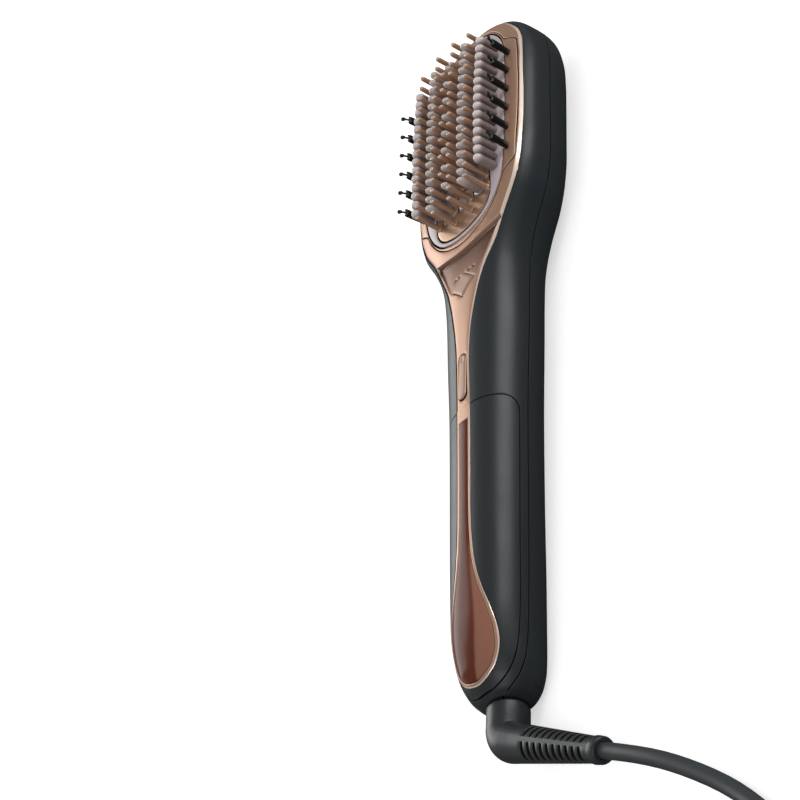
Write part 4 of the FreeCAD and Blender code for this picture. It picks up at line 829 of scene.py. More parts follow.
def shared(name: str, output: str, inputs: dict[str, Optional[float]],
           body: Callable[[Wiring, dict[str, Socket]], Socket]) -> bpy.types.NodeTree:
    """A node group with one output.

    Args:
        name: the group's name.
        output: name of its output.
        inputs: default of each input by name, or None for a colour.
        body: makes the output from the inputs.

    Returns:
        The group.
    """
    tree = bpy.data.node_groups.new(name, "ShaderNodeTree")
    for label, value, way in [(k, v, "INPUT") for k, v in inputs.items()] + [
            (output, None, "OUTPUT")]:
        kind = "NodeSocketColor" if "Color" in label else "NodeSocketFloat"
        socket = tree.interface.new_socket(label, in_out=way, socket_type=kind)
        if value is not None:
            socket.default_value = value
    wires = Wiring(tree)
    given = {s.name: s for s in wires.add("NodeGroupInput").outputs}
    wires.add("NodeGroupOutput", in0=body(wires, given))
    return tree


def edge_wear(wires: Wiring, given: dict[str, Socket]) -> Socket:
    """Lighter colour on the outer edges, broken up by noise.

    Args:
        wires: the group's wiring.
        given: the group's inputs by name.

    Returns:
        The group's output.
    """
    rounded = wires.add("ShaderNodeBevel", {"samples": 4}, Radius=given["Width"]).outputs[0]
    flat = wires.add("ShaderNodeNewGeometry").outputs["Normal"]
    dot = wires.vector("DOT_PRODUCT", in0=rounded, in1=flat).outputs["Value"]
    patchy = wires.noise(Scale=420.0, Detail=4.0, Roughness=0.6)
    edge = wires.math("MULTIPLY", wires.math("SUBTRACT", 1.0, dot),
                      wires.math("ADD", 3.0, wires.math("MULTIPLY", patchy, 9.0)))
    edge = wires.math("MULTIPLY", wires.math("MINIMUM", edge, 1.0), given["Amount"])
    return wires.mix(edge, given["Base Color"], given["Worn Color"])


def handling_marks(wires: Wiring, given: dict[str, Socket]) -> Socket:
    """Roughness with soft finger smudges and faint fine scratches.

    Args:
        wires: the group's wiring.
        given: the group's inputs by name.

    Returns:
        The group's output.
    """
    broad = wires.noise(Scale=46.0, Detail=5.0, Roughness=0.62, Distortion=0.8)
    lines = wires.add("ShaderNodeTexWave", {"wave_type": "BANDS"}, Vector=wires.spot(),
                      Scale=160.0, Distortion=22.0, Detail=3.0, Detail_Scale=4.0).outputs[1]
    broad = wires.math("MULTIPLY", wires.math("SUBTRACT", broad, 0.5), 2.0)
    thin = wires.math("MULTIPLY", wires.math("POWER", lines, 24.0), 0.35)
    total = wires.math("MULTIPLY", wires.math("ADD", broad, thin), given["Amount"])
    return wires.math("ADD", given["Roughness"], total)


def tint_drift(wires: Wiring, given: dict[str, Socket]) -> Socket:
    """Colour that drifts slightly lighter and darker over the piece.

    Args:
        wires: the group's wiring.
        given: the group's inputs by name.

    Returns:
        The group's output.
    """
    broad = wires.math("SUBTRACT", wires.noise(Scale=30.0, Detail=4.0), 0.5)
    fine = wires.math("SUBTRACT", wires.cells(wires.spot(), given["Fine"]), 0.5)
    level = wires.math("ADD", broad, wires.math("MULTIPLY", fine, 0.6))
    level = wires.math("MULTIPLY_ADD", level, given["Amount"], 1.0)
    return wires.vector("SCALE", in0=given["Base Color"], Scale=level).outputs[0]


def relief_of(kind: Texture) -> Callable[[Wiring, dict[str, Socket]], Socket]:
    """What makes the height of one kind of surface.

    Args:
        kind: the kind of surface.

    Returns:
        A function that wires such a group.
    """
    def height(wires: Wiring, given: dict[str, Socket]) -> Socket:
        """Height of the surface in the group."""
        spot, scale = wires.spot(), given["Scale"]
        if kind is Texture.BRUSHED:
            spot = wires.vector("MULTIPLY", in0=spot, in1=(1.0, 0.04, 1.0)).outputs[0]
        if kind is Texture.FLAKE:
            value = wires.cells(spot, scale)
        elif kind is Texture.WOVEN:
            value = wires.math("MAXIMUM", *[
                wires.add("ShaderNodeTexWave", {"bands_direction": way}, Vector=spot,
                          Scale=scale, Distortion=0.4).outputs[1] for way in "XY"])
        else:
            value = wires.add("ShaderNodeTexNoise", Vector=spot, Scale=scale, Detail=3.0,
                              Roughness=0.55).outputs[0]
        return wires.math("MULTIPLY", value, given["Strength"])
    return height


class Palette:
    """Makes the shared groups, and each finish's material once."""

    def __init__(self) -> None:
        """Make the groups."""
        self.wear = shared("EdgeWear", "Base Color", {
            "Base Color": None, "Worn Color": None, "Amount": 0.5, "Width": 0.0004}, edge_wear)
        self.marks = shared("HandlingMarks", "Roughness", {"Roughness": 0.4, "Amount": 0.06},
                            handling_marks)
        self.tint = shared("TintDrift", "Base Color", {
            "Base Color": None, "Amount": 0.05, "Fine": 2000.0}, tint_drift)
        self.relief = {kind: shared(f"Relief{kind.name.title()}", "Height",
                                    {"Scale": 1000.0, "Strength": 0.2}, relief_of(kind))
                       for kind in Texture}
        self.made: dict[Finish, bpy.types.Material] = {}
        self.slots: dict[str, str] = {}

    def __getitem__(self, finish: Finish) -> bpy.types.Material:
        """The material of a finish."""
        if finish not in self.made:
            self.made[finish] = self._make(finish)
        return self.made[finish]

    def _make(self, finish: Finish) -> bpy.types.Material:
        """Build the node tree of one finish.

        Args:
            finish: what is wanted.

        Returns:
            Its material.
        """
        material = bpy.data.materials.new("look_" + finish.name)
        self.slots[material.name] = finish.slot or finish.name
        wires = emptied(material)
        color = wires.add("ShaderNodeRGB").outputs[0]
        color.default_value = rgb(finish.color)
        # The window's colour carries painted reflections along both sides.
        if finish is COPPER_WINDOW:
            color = self._window_colour(wires)
        # Darker brown mixed into the bezel's scoop: painted shade.
        if finish is ROSE_GOLD:
            color = wires.mix(wires.carried("scoop"), color, rgb("5E4032"))
        # Lighter colour mixed in towards the tips of pins and blades: painted light on the tips.
        if finish.tip:
            color = wires.mix(self._above_face(wires, finish.lit_tip_from, finish.lit_tip_to), color,
                              rgb(finish.tip))
        color = wires.group(self.tint, Base_Color=color, Amount=finish.shift,
                            Fine=finish.grain)
        if finish.wear:
            color = wires.group(self.wear, Base_Color=color, Worn_Color=rgb(finish.worn),
                                Amount=finish.wear)
        rough = wires.group(self.marks, Roughness=finish.rough, Amount=finish.smudge)
        height = wires.group(self.relief[finish.texture], Scale=finish.grain,
                             Strength=finish.relief)
        bump = wires.add("ShaderNodeBump", Strength=0.35, Distance=0.0001, Height=height)
        shader = wires.add("ShaderNodeBsdfPrincipled", Base_Color=color, Roughness=rough,
                           Metallic=finish.metal, IOR=finish.ior, Coat_Weight=finish.coat,
                           Coat_Roughness=finish.coat_rough, Transmission_Weight=finish.clear,
                           Normal=bump.outputs[0])
        if finish.soft:
            shader.inputs["Subsurface Weight"].default_value = finish.soft
            shader.inputs["Subsurface Scale"].default_value = 0.0015
        wires.add("ShaderNodeOutputMaterial", in0=shader.outputs[0])
        return material

    @staticmethod
    def _above_face(wires: Wiring, low: float, high: float) -> Socket:
        """Share that grows from 0 to 1 between two heights above the crowned brush face.

        Args:
            wires: the material's wiring.
            low: height where it is 0.
            high: height where it is 1.

        Returns:
            The share.
        """
        spot = wires.add("ShaderNodeSeparateXYZ", Vector=wires.spot()).outputs
        away = wires.math("SUBTRACT", spot["Y"], FORM.face_mid * MM)
        sag = wires.math("DIVIDE", wires.math("MULTIPLY", away, away), 2 * FORM.crown * MM)
        rise = wires.math("SUBTRACT", wires.math("ADD", spot["Z"], sag), FORM.face_high * MM)
        return wires.add("ShaderNodeMapRange", {"interpolation_type": "SMOOTHSTEP"}, Value=rise,
                         in1=low * MM, in2=high * MM).outputs[0]

    @staticmethod
    def _window_colour(wires: Wiring) -> Socket:
        """Deep copper in the middle, with painted reflections making it lighter along both sides
        of the tank window.
        """
        color = wires.mix(wires.carried("light_side"), rgb("5E2F22"), rgb("8E6252"))
        return wires.mix(wires.carried("pale_side"), color, rgb("8E6A5E"))


PALETTE = Palette()


# ---------------------------------------------------------------- work on meshes
def inner_mesh(node: str) -> bpy.types.Mesh:
    """A mesh of what a part has inside the outer form: walls, floors, bores and bosses.

    Args:
        node: the part's name.

    Returns:
        A new mesh, which the caller removes.
    """
    weld, skin_deep, end_deep = 0.002, 0.12, 0.02
    work = bmesh.new()
    work.from_mesh(frame["nodes"][node].data)
    bmesh.ops.remove_doubles(work, verts=work.verts, dist=weld * MM)
    x, y, z = (np.array([v.co for v in work.verts]) / MM).T
    at = np.clip(y, FORM.butt, FORM.tip)
    half, mid, power, rise = FORM.section(at, z > FORM.middle(at))
    reach = ((np.abs(x) / half) ** power + (np.abs(z - mid) / rise) ** power) ** (1 / power)
    outside = (1 - reach) * np.minimum(half, rise) < skin_deep
    outside |= (np.abs(y) > FORM.tip - end_deep) | (z < end_deep)
    bmesh.ops.delete(work, geom=[f for f in work.faces if all(outside[v.index] for v in f.verts)],
                     context="FACES")
    mesh = bpy.data.meshes.new("inner")
    work.to_mesh(mesh)
    work.free()
    return mesh


def facing(face: bmesh.types.BMFace) -> float:
    """More than 0 where a face of the outer form's skin looks away from the form's middle.

    Args:
        face: a face of the skin.

    Returns:
        Its normal's reach along the way out.
    """
    heel_mid, head_mid = FORM.butt + 12.0, FORM.tip - 14.0
    spot = face.calc_center_median()
    y = spot.y / MM
    middle = Vector((0, min(max(y, heel_mid), head_mid), float(FORM.middle(y)))) * MM
    return face.normal.dot(spot - middle)


def skin_object(shape: Shape, name: str, node: str) -> Object:
    """A shell of the outer form: an open skin with rolled lips, and the part's inner faces.

    Args:
        shape: the skin's corners and faces.
        name: the object's name.
        node: name of the part that has the inner faces.

    Returns:
        The object.
    """
    lip_deep, lip_soft = 1.0, 0.10
    obj = shape.object(name, CHARCOAL, BLACK_AND_GAP_SHADE)
    work = bmesh.new()
    work.from_mesh(obj.data)
    bmesh.ops.dissolve_degenerate(work, edges=work.edges, dist=1e-7)
    for face in work.faces:
        if facing(face) < 0:
            face.normal_flip()
    work.normal_update()
    rim = [e for e in work.edges if e.is_boundary]
    normals = {v: v.normal.copy() for e in rim for v in e.verts}
    made = bmesh.ops.extrude_edge_only(work, edges=rim)["geom"]
    # The lips' walls take the dark second finish: painted shade in the seam gaps.
    for face in [f for f in made if isinstance(f, bmesh.types.BMFace)]:
        face.material_index = 1
    for low in [v for v in made if isinstance(v, bmesh.types.BMVert)]:
        top = next(v for v in (e.other_vert(low) for e in low.link_edges) if v in normals)
        low.co -= normals[top] * lip_deep * MM
    bmesh.ops.bevel(work, geom=rim, offset=lip_soft * MM, segments=2, profile=0.5,
                    affect="EDGES", clamp_overlap=True, material=0)
    bmesh.ops.recalc_face_normals(work, faces=work.faces)
    if sum(1 if facing(f) > 0 else -1 for f in work.faces) < 0:
        bmesh.ops.reverse_faces(work, faces=work.faces)
    extra = inner_mesh(node)
    work.from_mesh(extra)
    work.to_mesh(obj.data)
    work.free()
    bpy.data.meshes.remove(extra)
    smooth(obj.data, 38)
    return obj


def slab(shape: Shape, outline: Loop, rings: Sequence[tuple[float, float]]) -> None:
    """Add a closed upright plate, drawn in by an inset at each level along -Y.

    Args:
        shape: what it is added to.
        outline: the outline in x and z.
        rings: (inset, level) pairs from one face to the other.
    """
    rows = np.array([[(a, -level, b) for a, b in moved_in(outline, inset)]
                     for inset, level in rings])
    shape.grid(rows, ring=True)
    for row, flip in ((rows[0], True), (rows[-1], False)):
        shape.fan(row, np.mean(row, axis=0), flip)


class Repeater:
    """Places copies of one small piece on many points through geometry nodes."""

    def __init__(self) -> None:
        """Build the node group with its named inputs."""
        self.tree = bpy.data.node_groups.new("RepeatOnPoints", "GeometryNodeTree")
        self.sockets = {}
        for label, kind in (("Points", "Geometry"), ("Piece", "Object"), ("Size Play", "Float"),
                            ("Lean Play", "Float"), ("Seed", "Int"), ("Finish", "Material")):
            self.sockets[label] = self.tree.interface.new_socket(
                label, in_out="INPUT", socket_type="NodeSocket" + kind).identifier
        self.tree.interface.new_socket("Pieces", in_out="OUTPUT",
                                       socket_type="NodeSocketGeometry")
        wires = Wiring(self.tree)
        given = wires.add("NodeGroupInput").outputs
        info = wires.add("GeometryNodeObjectInfo", Object=given["Piece"])
        lean = wires.add("FunctionNodeRandomValue", {"data_type": "FLOAT_VECTOR"},
                         Seed=given["Seed"], in0=(-1.0, -1.0, -1.0), in1=(1.0, 1.0, 1.0))
        lean = wires.vector("SCALE", in0=lean.outputs[0], Scale=given["Lean Play"])
        size = wires.add("FunctionNodeRandomValue", Seed=given["Seed"],
                         in2=wires.math("SUBTRACT", 1.0, given["Size Play"]),
                         in3=wires.math("ADD", 1.0, given["Size Play"]))
        copies = wires.add("GeometryNodeInstanceOnPoints", Points=given["Points"],
                           Instance=info.outputs["Geometry"], Rotation=lean.outputs[0],
                           Scale=size.outputs[1])
        real = wires.add("GeometryNodeRealizeInstances", Geometry=copies.outputs[0])
        dressed = wires.add("GeometryNodeSetMaterial", Geometry=real.outputs[0],
                            Material=given["Finish"])
        wires.add("NodeGroupOutput", in0=dressed.outputs[0])

    def make(self, name: str, piece: Shape, spots: Sequence[tuple], finish: Finish,
             size_play: float, seed: int, lean_play: float = 0.0) -> Object:
        """Copy a piece onto points and return one plain mesh of all the copies.

        Args:
            name: name of the new object.
            piece: the small piece, about its own foot.
            spots: places in millimetres.
            finish: finish of the copies.
            size_play: how far sizes vary, as a share.
            seed: seed of the variation.
            lean_play: how far copies lean at random, in radians.

        Returns:
            The object with every copy.
        """
        source = piece.object(name + "_one", finish)
        mesh = bpy.data.meshes.new(name + "_points")
        mesh.from_pydata([tuple(c * MM for c in p) for p in spots], [], [])
        holder = linked(name + "_holder", mesh)
        modifier = holder.modifiers.new("repeat", "NODES")
        modifier.node_group = self.tree
        for label, value in (("Piece", source), ("Size Play", size_play), ("Seed", seed),
                             ("Lean Play", lean_play), ("Finish", PALETTE[finish])):
            modifier[self.sockets[label]] = value
        bpy.context.view_layer.update()
        graph = bpy.context.evaluated_depsgraph_get()
        result = bpy.data.meshes.new_from_object(holder.evaluated_get(graph))
        for one in (holder, source):
            bpy.data.objects.remove(one)
        result.name = name
        result.materials.clear()
        result.materials.append(PALETTE[finish])
        return finished(name, result)


# ---------------------------------------------------------------- shells
CAP = np.array([151.0, 150.8, 150.55, 150.3, 150.12])     # rows over the tip's cap


@dataclass
class Shells:
    """Rear shell and dark front shell, cut from the outer form along their seams."""

    gap: float = 0.23
    shelf: float = 24.5

    def rows(self) -> np.ndarray:
        """Places along the form, closer together towards both ends.

        Returns:
            The places.
        """
        near = np.array([0, .06, .14, .25, .4, .55, .7, .85, 1.05, 1.3, 1.6, 2, 2.5, 3, 3.6, 4.3,
                         5.1, 6, 7, 8.2, 9.6, 11])
        body = np.arange(FORM.tip - 12.5, FORM.butt + 11.8, -1.5)
        return np.concatenate([FORM.tip - near, body, FORM.butt + near[::-1]])

    def rear(self) -> Object:
        """The rear shell.

        Returns:
            The object.
        """
        v = np.concatenate([CAP, self.rows(), -CAP[::-1]])
        y = np.clip(v, FORM.butt, FORM.tip)
        start = FORM.side_angle(y, FORM.seam(y) - self.gap)
        share = np.linspace(0, 1, 97)
        share = share - 0.055 * np.sin(2 * math.pi * share) / math.pi
        shape = Shape()
        shape.grid(FORM.point(v[:, None],
                              start[:, None] + (-math.pi - 2 * start)[:, None] * share))
        return skin_object(shape, "RearShell", "rear_shell")

    def front(self) -> Object:
        """The dark front shell on both sides, round the tip and round the butt.

        Returns:
            The object.
        """
        rows, end = self.rows(), FORM.tank_front + self.gap
        round_bezel = FORM.tip - np.array([0.72, 0.75, 0.755, 0.77, 0.8, 0.9, 0.95, 1.15])
        v = np.sort(np.concatenate([CAP, rows[rows > end + 0.4], round_bezel, [end]]))[::-1]
        y = np.clip(v, FORM.butt, FORM.tip)
        edge = np.where(y >= FORM.tip - 0.75, 0.0, FORM.bezel_half(y) + self.gap)
        low = FORM.side_angle(y, FORM.seam(y) + self.gap)
        high = FORM.plan_angle(edge, y)
        shelf = np.minimum(FORM.side_angle(y, self.shelf), low + 0.6 * (high - low))
        first = low[:, None] + (shelf - low)[:, None] * np.linspace(0, 1, 15)
        second = shelf[:, None] + (high - shelf)[:, None] * np.linspace(0, 1, 19)[1:]
        shape = Shape()
        shape.both_sides(FORM.point(v[:, None], np.concatenate([first, second], axis=1)))
        seam = FORM.tank_seam(-self.gap)
        base = np.concatenate([rows[rows < end - 6.0], seam[:13, 0]])
        base = np.sort(base[base <= end + 1e-9])[::-1]
        v = np.concatenate([base, -CAP[::-1]])
        y = np.clip(v, FORM.butt, FORM.tip)
        order = np.argsort(seam[:, 0])
        seam_z = np.interp(y, seam[order, 0], seam[order, 1])
        at_end = v == base[0]
        low = np.where(at_end, low[-1], FORM.side_angle(y, FORM.seam(y) + self.gap))
        high = np.where(y < seam[-1, 0], math.pi / 2, FORM.side_angle(y, seam_z))
        high = np.where(at_end, shelf[-1], high)
        shape.both_sides(FORM.point(
            v[:, None], low[:, None] + (high - low)[:, None] * np.linspace(0, 1, 15)))
        return skin_object(shape, "FrontShell", "front_shell")


@dataclass
class TankSkin:
    """Water tank: dark body, gold trim and copper window.

    Arc is the run, in millimetres, that a radian round the section counts as.
    """

    gap: float = 0.23
    trim_wide: float = 1.3
    window_top: float = -40.1
    window_gap: float = 0.12
    arc: float = 17.0

    def tear_loop(self, inset: float, top: float) -> Loop:
        """The teardrop outline drawn in by inset and closed straight at a place.

        Args:
            inset: how far it is drawn in.
            top: place where it is closed.

        Returns:
            The loop's points.
        """
        right = [(FORM.strip_half, FORM.tank_front + 8.0)]
        right = np.array(right + [(x, FORM.butt + a) for a, x in reversed(FORM.tear)], float)
        line = even_line(smooth_line(np.concatenate([right, right[-2::-1] * [-1, 1]]), False,
                                     0.5), 0.5)
        step = np.gradient(line, axis=0)
        step /= np.linalg.norm(step, axis=1)[:, None]
        moved = line + np.stack([step[:, 1], -step[:, 0]], -1) * inset
        keep = moved[moved[:, 1] <= top + 1e-9]
        first, last = ([(end[0], top)] if end[1] < top - 0.05 else []
                       for end in (keep[0], keep[-1]))
        return dense([*first, *keep, *last], 0.5)

    def body(self) -> Object:
        """The tank's dark outer skin between its seam and the trim.

        Returns:
            The object.
        """
        front = FORM.tank_front - self.gap
        seam = FORM.tank_seam(self.gap)
        lower = np.column_stack([seam[:, 0], FORM.side_angle(*seam.T)])
        lower = np.vstack([lower, [seam[-1, 0] - 0.08, math.pi / 2]])
        tear = np.array(self.tear_loop(-self.gap, front))
        right = tear[tear[:, 0] >= -1e-6]
        right = right[np.argsort(-right[:, 1])]
        upper = np.column_stack([right[:, 1], FORM.plan_angle(*right.T)])
        upper = np.vstack([
            [front, float(FORM.plan_angle(FORM.strip_half + self.gap, FORM.tank_front))],
            upper[upper[:, 0] < front - 0.3], [right[-1, 1], math.pi / 2]])
        share = np.linspace(0, 1, 190)
        share = share + 0.12 * np.sin(math.pi * share) / math.pi

        def along(curve: np.ndarray) -> np.ndarray:
            """Points of one edge at the shares, with an angle weighed as its arc."""
            run = arc_length(curve * [1, self.arc])
            run /= run[-1]
            return np.stack([np.interp(share, run, curve[:, k]) for k in range(2)], -1)

        across = np.linspace(0, 1, 25)[None, :, None]
        both = along(lower)[:, None, :] * (1 - across) + along(upper)[:, None, :] * across
        shape = Shape()
        shape.both_sides(FORM.point(both[..., 0], both[..., 1]))
        return skin_object(shape, "TankBody", "tank_body")

    def trim(self) -> Object:
        """Gold rim of the window, which carries the bezel's strip on.

        Returns:
            The object.
        """
        shape, top = Shape(), FORM.tank_front - 0.05
        # The outer edge's first strips take the lighter gold as a painted highlight; the dark
        # walls are painted shade.
        Panel(self.tear_loop(0.02, top), FORM.top,
              [self.tear_loop(self.trim_wide, self.window_top)], deep=1.3, pitch=0.9,
              edge=((0.42, 0.04), (0.3, 0.02), (0.12, 0.1), (0.0, 0.3)),
              hole_edge=((0.3, 0.04), (0.18, 0.06), (0.06, 0.16), (0.0, 0.34)),
              edge_scale=lambda p: np.interp(p[:, 1], [top - 1.0, top - 0.3], [1.0, 0.08]),
              cut=(0, 1, 2)).into(shape)
        return shape.object("TankTrim", ROSE_GOLD, BLACK_AND_GAP_SHADE, PAINTED_HIGHLIGHT_GOLD, sharp=48)

    def window(self) -> Object:
        """Glossy copper-coloured window, a little bulged, with painted reflections marked on it.

        Returns:
            The object.
        """
        def high(x: Number, y: Number) -> np.ndarray:
            """Height of the window's face, raised in the middle."""
            half = np.maximum(FORM.tear_half(y) - self.trim_wide, 0.4)
            return FORM.top(x, y) - 0.12 + 0.22 * np.clip(1 - (np.abs(x) / half) ** 2, 0, 1)

        shape = Shape()
        Panel(self.tear_loop(self.trim_wide + self.window_gap, self.window_top - 0.1), high,
              deep=1.6, pitch=0.8, edge=FINE_EDGE).into(shape)
        obj = shape.object("TankWindow", COPPER_WINDOW, BLACK_AND_GAP_SHADE, sharp=48)
        x, y, _ = corners(obj.data).T
        # Marks for the painted reflections: a sharp-edged lighter one on the right, a pale one on
        # the left.
        across = x / np.maximum(FORM.tear_half(y) - self.trim_wide, 0.5)
        inner = np.interp(y, [-146, -138, -128, -116, -104, -92, -40],
                          [0.05, 0.28, 0.42, 0.55, 0.72, 0.96, 1.2])
        mark(obj, "light_side", 1 / (1 + np.exp(-(across - inner) * 46)))
        mark(obj, "pale_side", np.clip((-across - 0.62) / 0.38, 0, 1) ** 1.5
             * np.interp(y, [-150, -110, -80, -40], [0.8, 0.7, 0.35, 0.25]))
        return obj


# ---------------------------------------------------------------- bezel and controls
@dataclass
class Bezel:
    """Rose-gold bezel with its scoop, and the button, key and lights set in it."""

    button_x: float = 12.6
    button_y: float = 11.4
    button_at: float = 22.0
    button_proud: float = 0.5
    key_wide: float = 3.9
    key_long: float = 19.9
    key_at: float = -20.65
    key_proud: float = 0.35
    gap: float = 0.3
    dot_at: float = 27.5
    dot_size: float = 1.2
    dots: tuple = (-5.3, -2.9, 2.9, 5.3)
    scoop_top: float = 110.6
    scoop_side: tuple = ((20.2, 105.8), (13.7, 116.7), (8.2, 127.3), (4.6, 131.0))

    def outline(self) -> Loop:
        """The bezel's outer edge, closed straight at the tank.

        Returns:
            The loop's points.
        """
        along = np.arange(FORM.tip - 76, -34.0, -3.0)
        right = np.array([(x, y) for y, x in FORM.bezel_tip + FORM.dome_rim]
                         + [(float(FORM.bezel_half(y)), y) for y in along]
                         + [(FORM.strip_half, FORM.tank_front + 0.05)])
        line = smooth_line(np.concatenate([right[::-1] * [-1, 1], right[1:]]), False, 0.7)
        return dense(even_line(line, 0.8), 0.8)

    def scoop_loop(self) -> Loop:
        """Outline of the scooped wedge below the face.

        Returns:
            The loop's points.
        """
        reach, tip = self.scoop_side[0][0], FORM.tip
        top = [(reach * math.sin(t), tip - self.scoop_top + 4.8 * math.sin(t) ** 2)
               for t in np.linspace(-math.pi / 2, math.pi / 2, 60)]
        side = smooth_line(np.array([(x, tip - a) for x, a in self.scoop_side]), False, 0.6)[1:]
        return dense([*top[:-1], *side, *(side[::-1] * [-1, 1])], 0.6)

    def scoop_depth(self, x: Number, y: Number) -> np.ndarray:
        """How far each place is in the scoop, from 0 to 1, with a soft step at its edge.

        Args:
            x: places across.
            y: places along.

        Returns:
            The depths.
        """
        loop = self.scoop_loop()
        spots = np.column_stack([np.ravel(x), np.ravel(y)])
        near = np.full(len(spots), 9.0)
        close = (np.abs(spots[:, 0]) < 22) & (spots[:, 1] > 17) & (spots[:, 1] < 46)
        a = np.array(loop)
        ab = np.roll(a, -1, 0) - a
        for k in np.nonzero(close)[0]:
            t = np.clip(np.sum((spots[k] - a) * ab, 1) / (np.sum(ab * ab, 1) + 1e-12), 0, 1)
            near[k] = np.min(np.linalg.norm(a + ab * t[:, None] - spots[k], axis=1))
        reach = np.where(inside(spots, loop) & close, np.clip(near / 0.7, 0, 1), 0.0)
        return (reach * reach * (3 - 2 * reach)).reshape(np.shape(x))

    def scoop_high(self, y: Number) -> Number:
        """Height of the scoop's floor."""
        return FORM.neck_high - FORM.scoop_deep * np.clip((y - 19.0) / 25.0, 0, 1) ** 1.3

    def high(self, x: Number, y: Number) -> np.ndarray:
        """Height of the bezel's face with the scoop taken out of it."""
        top = FORM.top(x, y)
        floor = np.minimum(self.scoop_high(np.asarray(y)) - (FORM.front(y) - top), top)
        return top + (floor - top) * self.scoop_depth(x, y)

    def key_loop(self, grow: float, step: float) -> Loop:
        """Outline of the key or of its hole."""
        half = self.key_long / 2
        return rounded_slot(self.key_wide, self.key_at - half, self.key_at + half, grow=grow,
                            step=step)

    def bezel(self) -> Object:
        """The bezel itself.

        Returns:
            The object.
        """
        wide, long = self.button_x + 2 * self.gap, self.button_y + 2 * self.gap
        dot = self.dot_size + 0.1
        holes = [moved_in(FORM.outline(FORM.frame_line), -0.2),
                 self.diamond(wide, long, 0.0, self.button_at, 0.35),
                 self.key_loop(self.gap, 0.35),
                 *(self.diamond(dot, dot, x, self.dot_at, 0.08, 0.2) for x in self.dots)]

        def edge_wide(points: np.ndarray) -> np.ndarray:
            """Width of the rounded edge, less along the tank than round the head."""
            return np.interp(points[:, 1], [-34.2, -33.4, -10, 20, 45, 62, 90, 130, 150],
                             [0.08, 0.45, 0.5, 0.85, 1.25, 1.3, 1.0, 0.9, 0.85])

        shape = Shape()
        # The outer chamfer's strips take the lighter gold as a painted highlight; the dark walls
        # are painted shade in the gaps.
        Panel(self.outline(), self.high, holes,
              edge=((1.25, 0.0), (1.12, 0.03), (0.95, 0.1), (0.25, 0.5), (0.08, 0.62),
                    (0.0, 0.85)),
              hole_edge=((0.3, 0.0), (0.2, 0.03), (0.07, 0.12), (0.0, 0.3)),
              edge_scale=edge_wide, deep=2.6, pitch=1.15, cut=(1, 2, 3),
              creases=[moved_in(self.scoop_loop(), d) for d in (0.0, 0.23, 0.47, 0.72)]
              ).into(shape)
        obj = shape.object("FrontBezel", ROSE_GOLD, BLACK_AND_GAP_SHADE, PAINTED_HIGHLIGHT_GOLD, sharp=30)
        x, y, _ = corners(obj.data).T
        # Painted shade in the scoop, deepest towards its top.
        shade = np.interp(y, [16, 24, 34, 44], [0.0, 0.35, 0.75, 1.0])
        mark(obj, "scoop", self.scoop_depth(x, y) * shade)
        return obj

    @staticmethod
    def diamond(wide: float, long: float, x: float, y: float, corner: float,
                step: float = 0.4) -> Loop:
        """A diamond in plan with slightly rounded corners.

        Args:
            wide: its width.
            long: its length.
            x: its middle across.
            y: its middle along.
            corner: how far its corners are cut back.
            step: distance between points.

        Returns:
            The loop's points.
        """
        ends = [(x + wide / 2, y), (x, y + long / 2), (x - wide / 2, y), (x, y - long / 2)]
        made: Loop = []
        for k, (cx, cy) in enumerate(ends):
            near = []
            for ox, oy in (ends[k - 1], ends[(k + 1) % 4]):
                run = math.hypot(ox - cx, oy - cy)
                near.append((cx + (ox - cx) * corner / run, cy + (oy - cy) * corner / run))
            for t in (0.0, 0.25, 0.5, 0.75, 1.0):
                made.append(tuple((1 - t) ** 2 * p + 2 * t * (1 - t) * c + t * t * q
                                  for p, c, q in zip(near[0], (cx, cy), near[1])))
        return dense(made, step)

    def button(self) -> Object:
        """Diamond power button with bevelled edges.

        Returns:
            The object.
        """
        at, top = self.button_at, float(self.scoop_high(self.button_at)) + self.button_proud
        loop = self.diamond(self.button_x, self.button_y, 0.0, at, 0.5)
        deep = self.button_x * self.button_y / 2 / math.hypot(self.button_x, self.button_y)
        rows = np.array([[(a * (1 - inset / deep), at + (b - at) * (1 - inset / deep), top - drop)
                          for a, b in loop]
                         for inset, drop in ((0.0, 4.8), (0.0, 0.62), (0.05, 0.5), (0.3, 0.24),
                                             (0.55, 0.09), (0.8, 0.02), (1.2, 0.0),
                                             (2.4, -0.01))])
        shape = Shape()
        shape.grid(rows, ring=True)
        shape.fan(rows[-1], (0.0, at, top + 0.01))
        return shape.object("PowerButton", BUTTON_GOLD, sharp=28)

    def key(self) -> Object:
        """Long steam key with a hole for its light.

        Returns:
            The object.
        """
        top = float(FORM.front(self.key_at)) + self.key_proud
        light = self.key_at + self.key_long / 2 - 2.6
        hole = [(0.65 * math.cos(a), light + 0.65 * math.sin(a))
                for a in np.linspace(0, 2 * math.pi, 28, endpoint=False)]
        shape = Shape()
        Panel(self.key_loop(0.0, 0.3), lambda x, y: top + 0.1 - 0.06 * (x / 1.9) ** 2, [hole],
              edge=((0.55, 0.0), (0.4, 0.03), (0.2, 0.12), (0.06, 0.28), (0.0, 0.5)),
              hole_edge=((0.12, 0.0), (0.03, 0.06), (0.0, 0.16)), deep=3.6, pitch=0.6).into(shape)
        return shape.object("SteamKey", BUTTON_GOLD, BLACK_AND_GAP_SHADE)


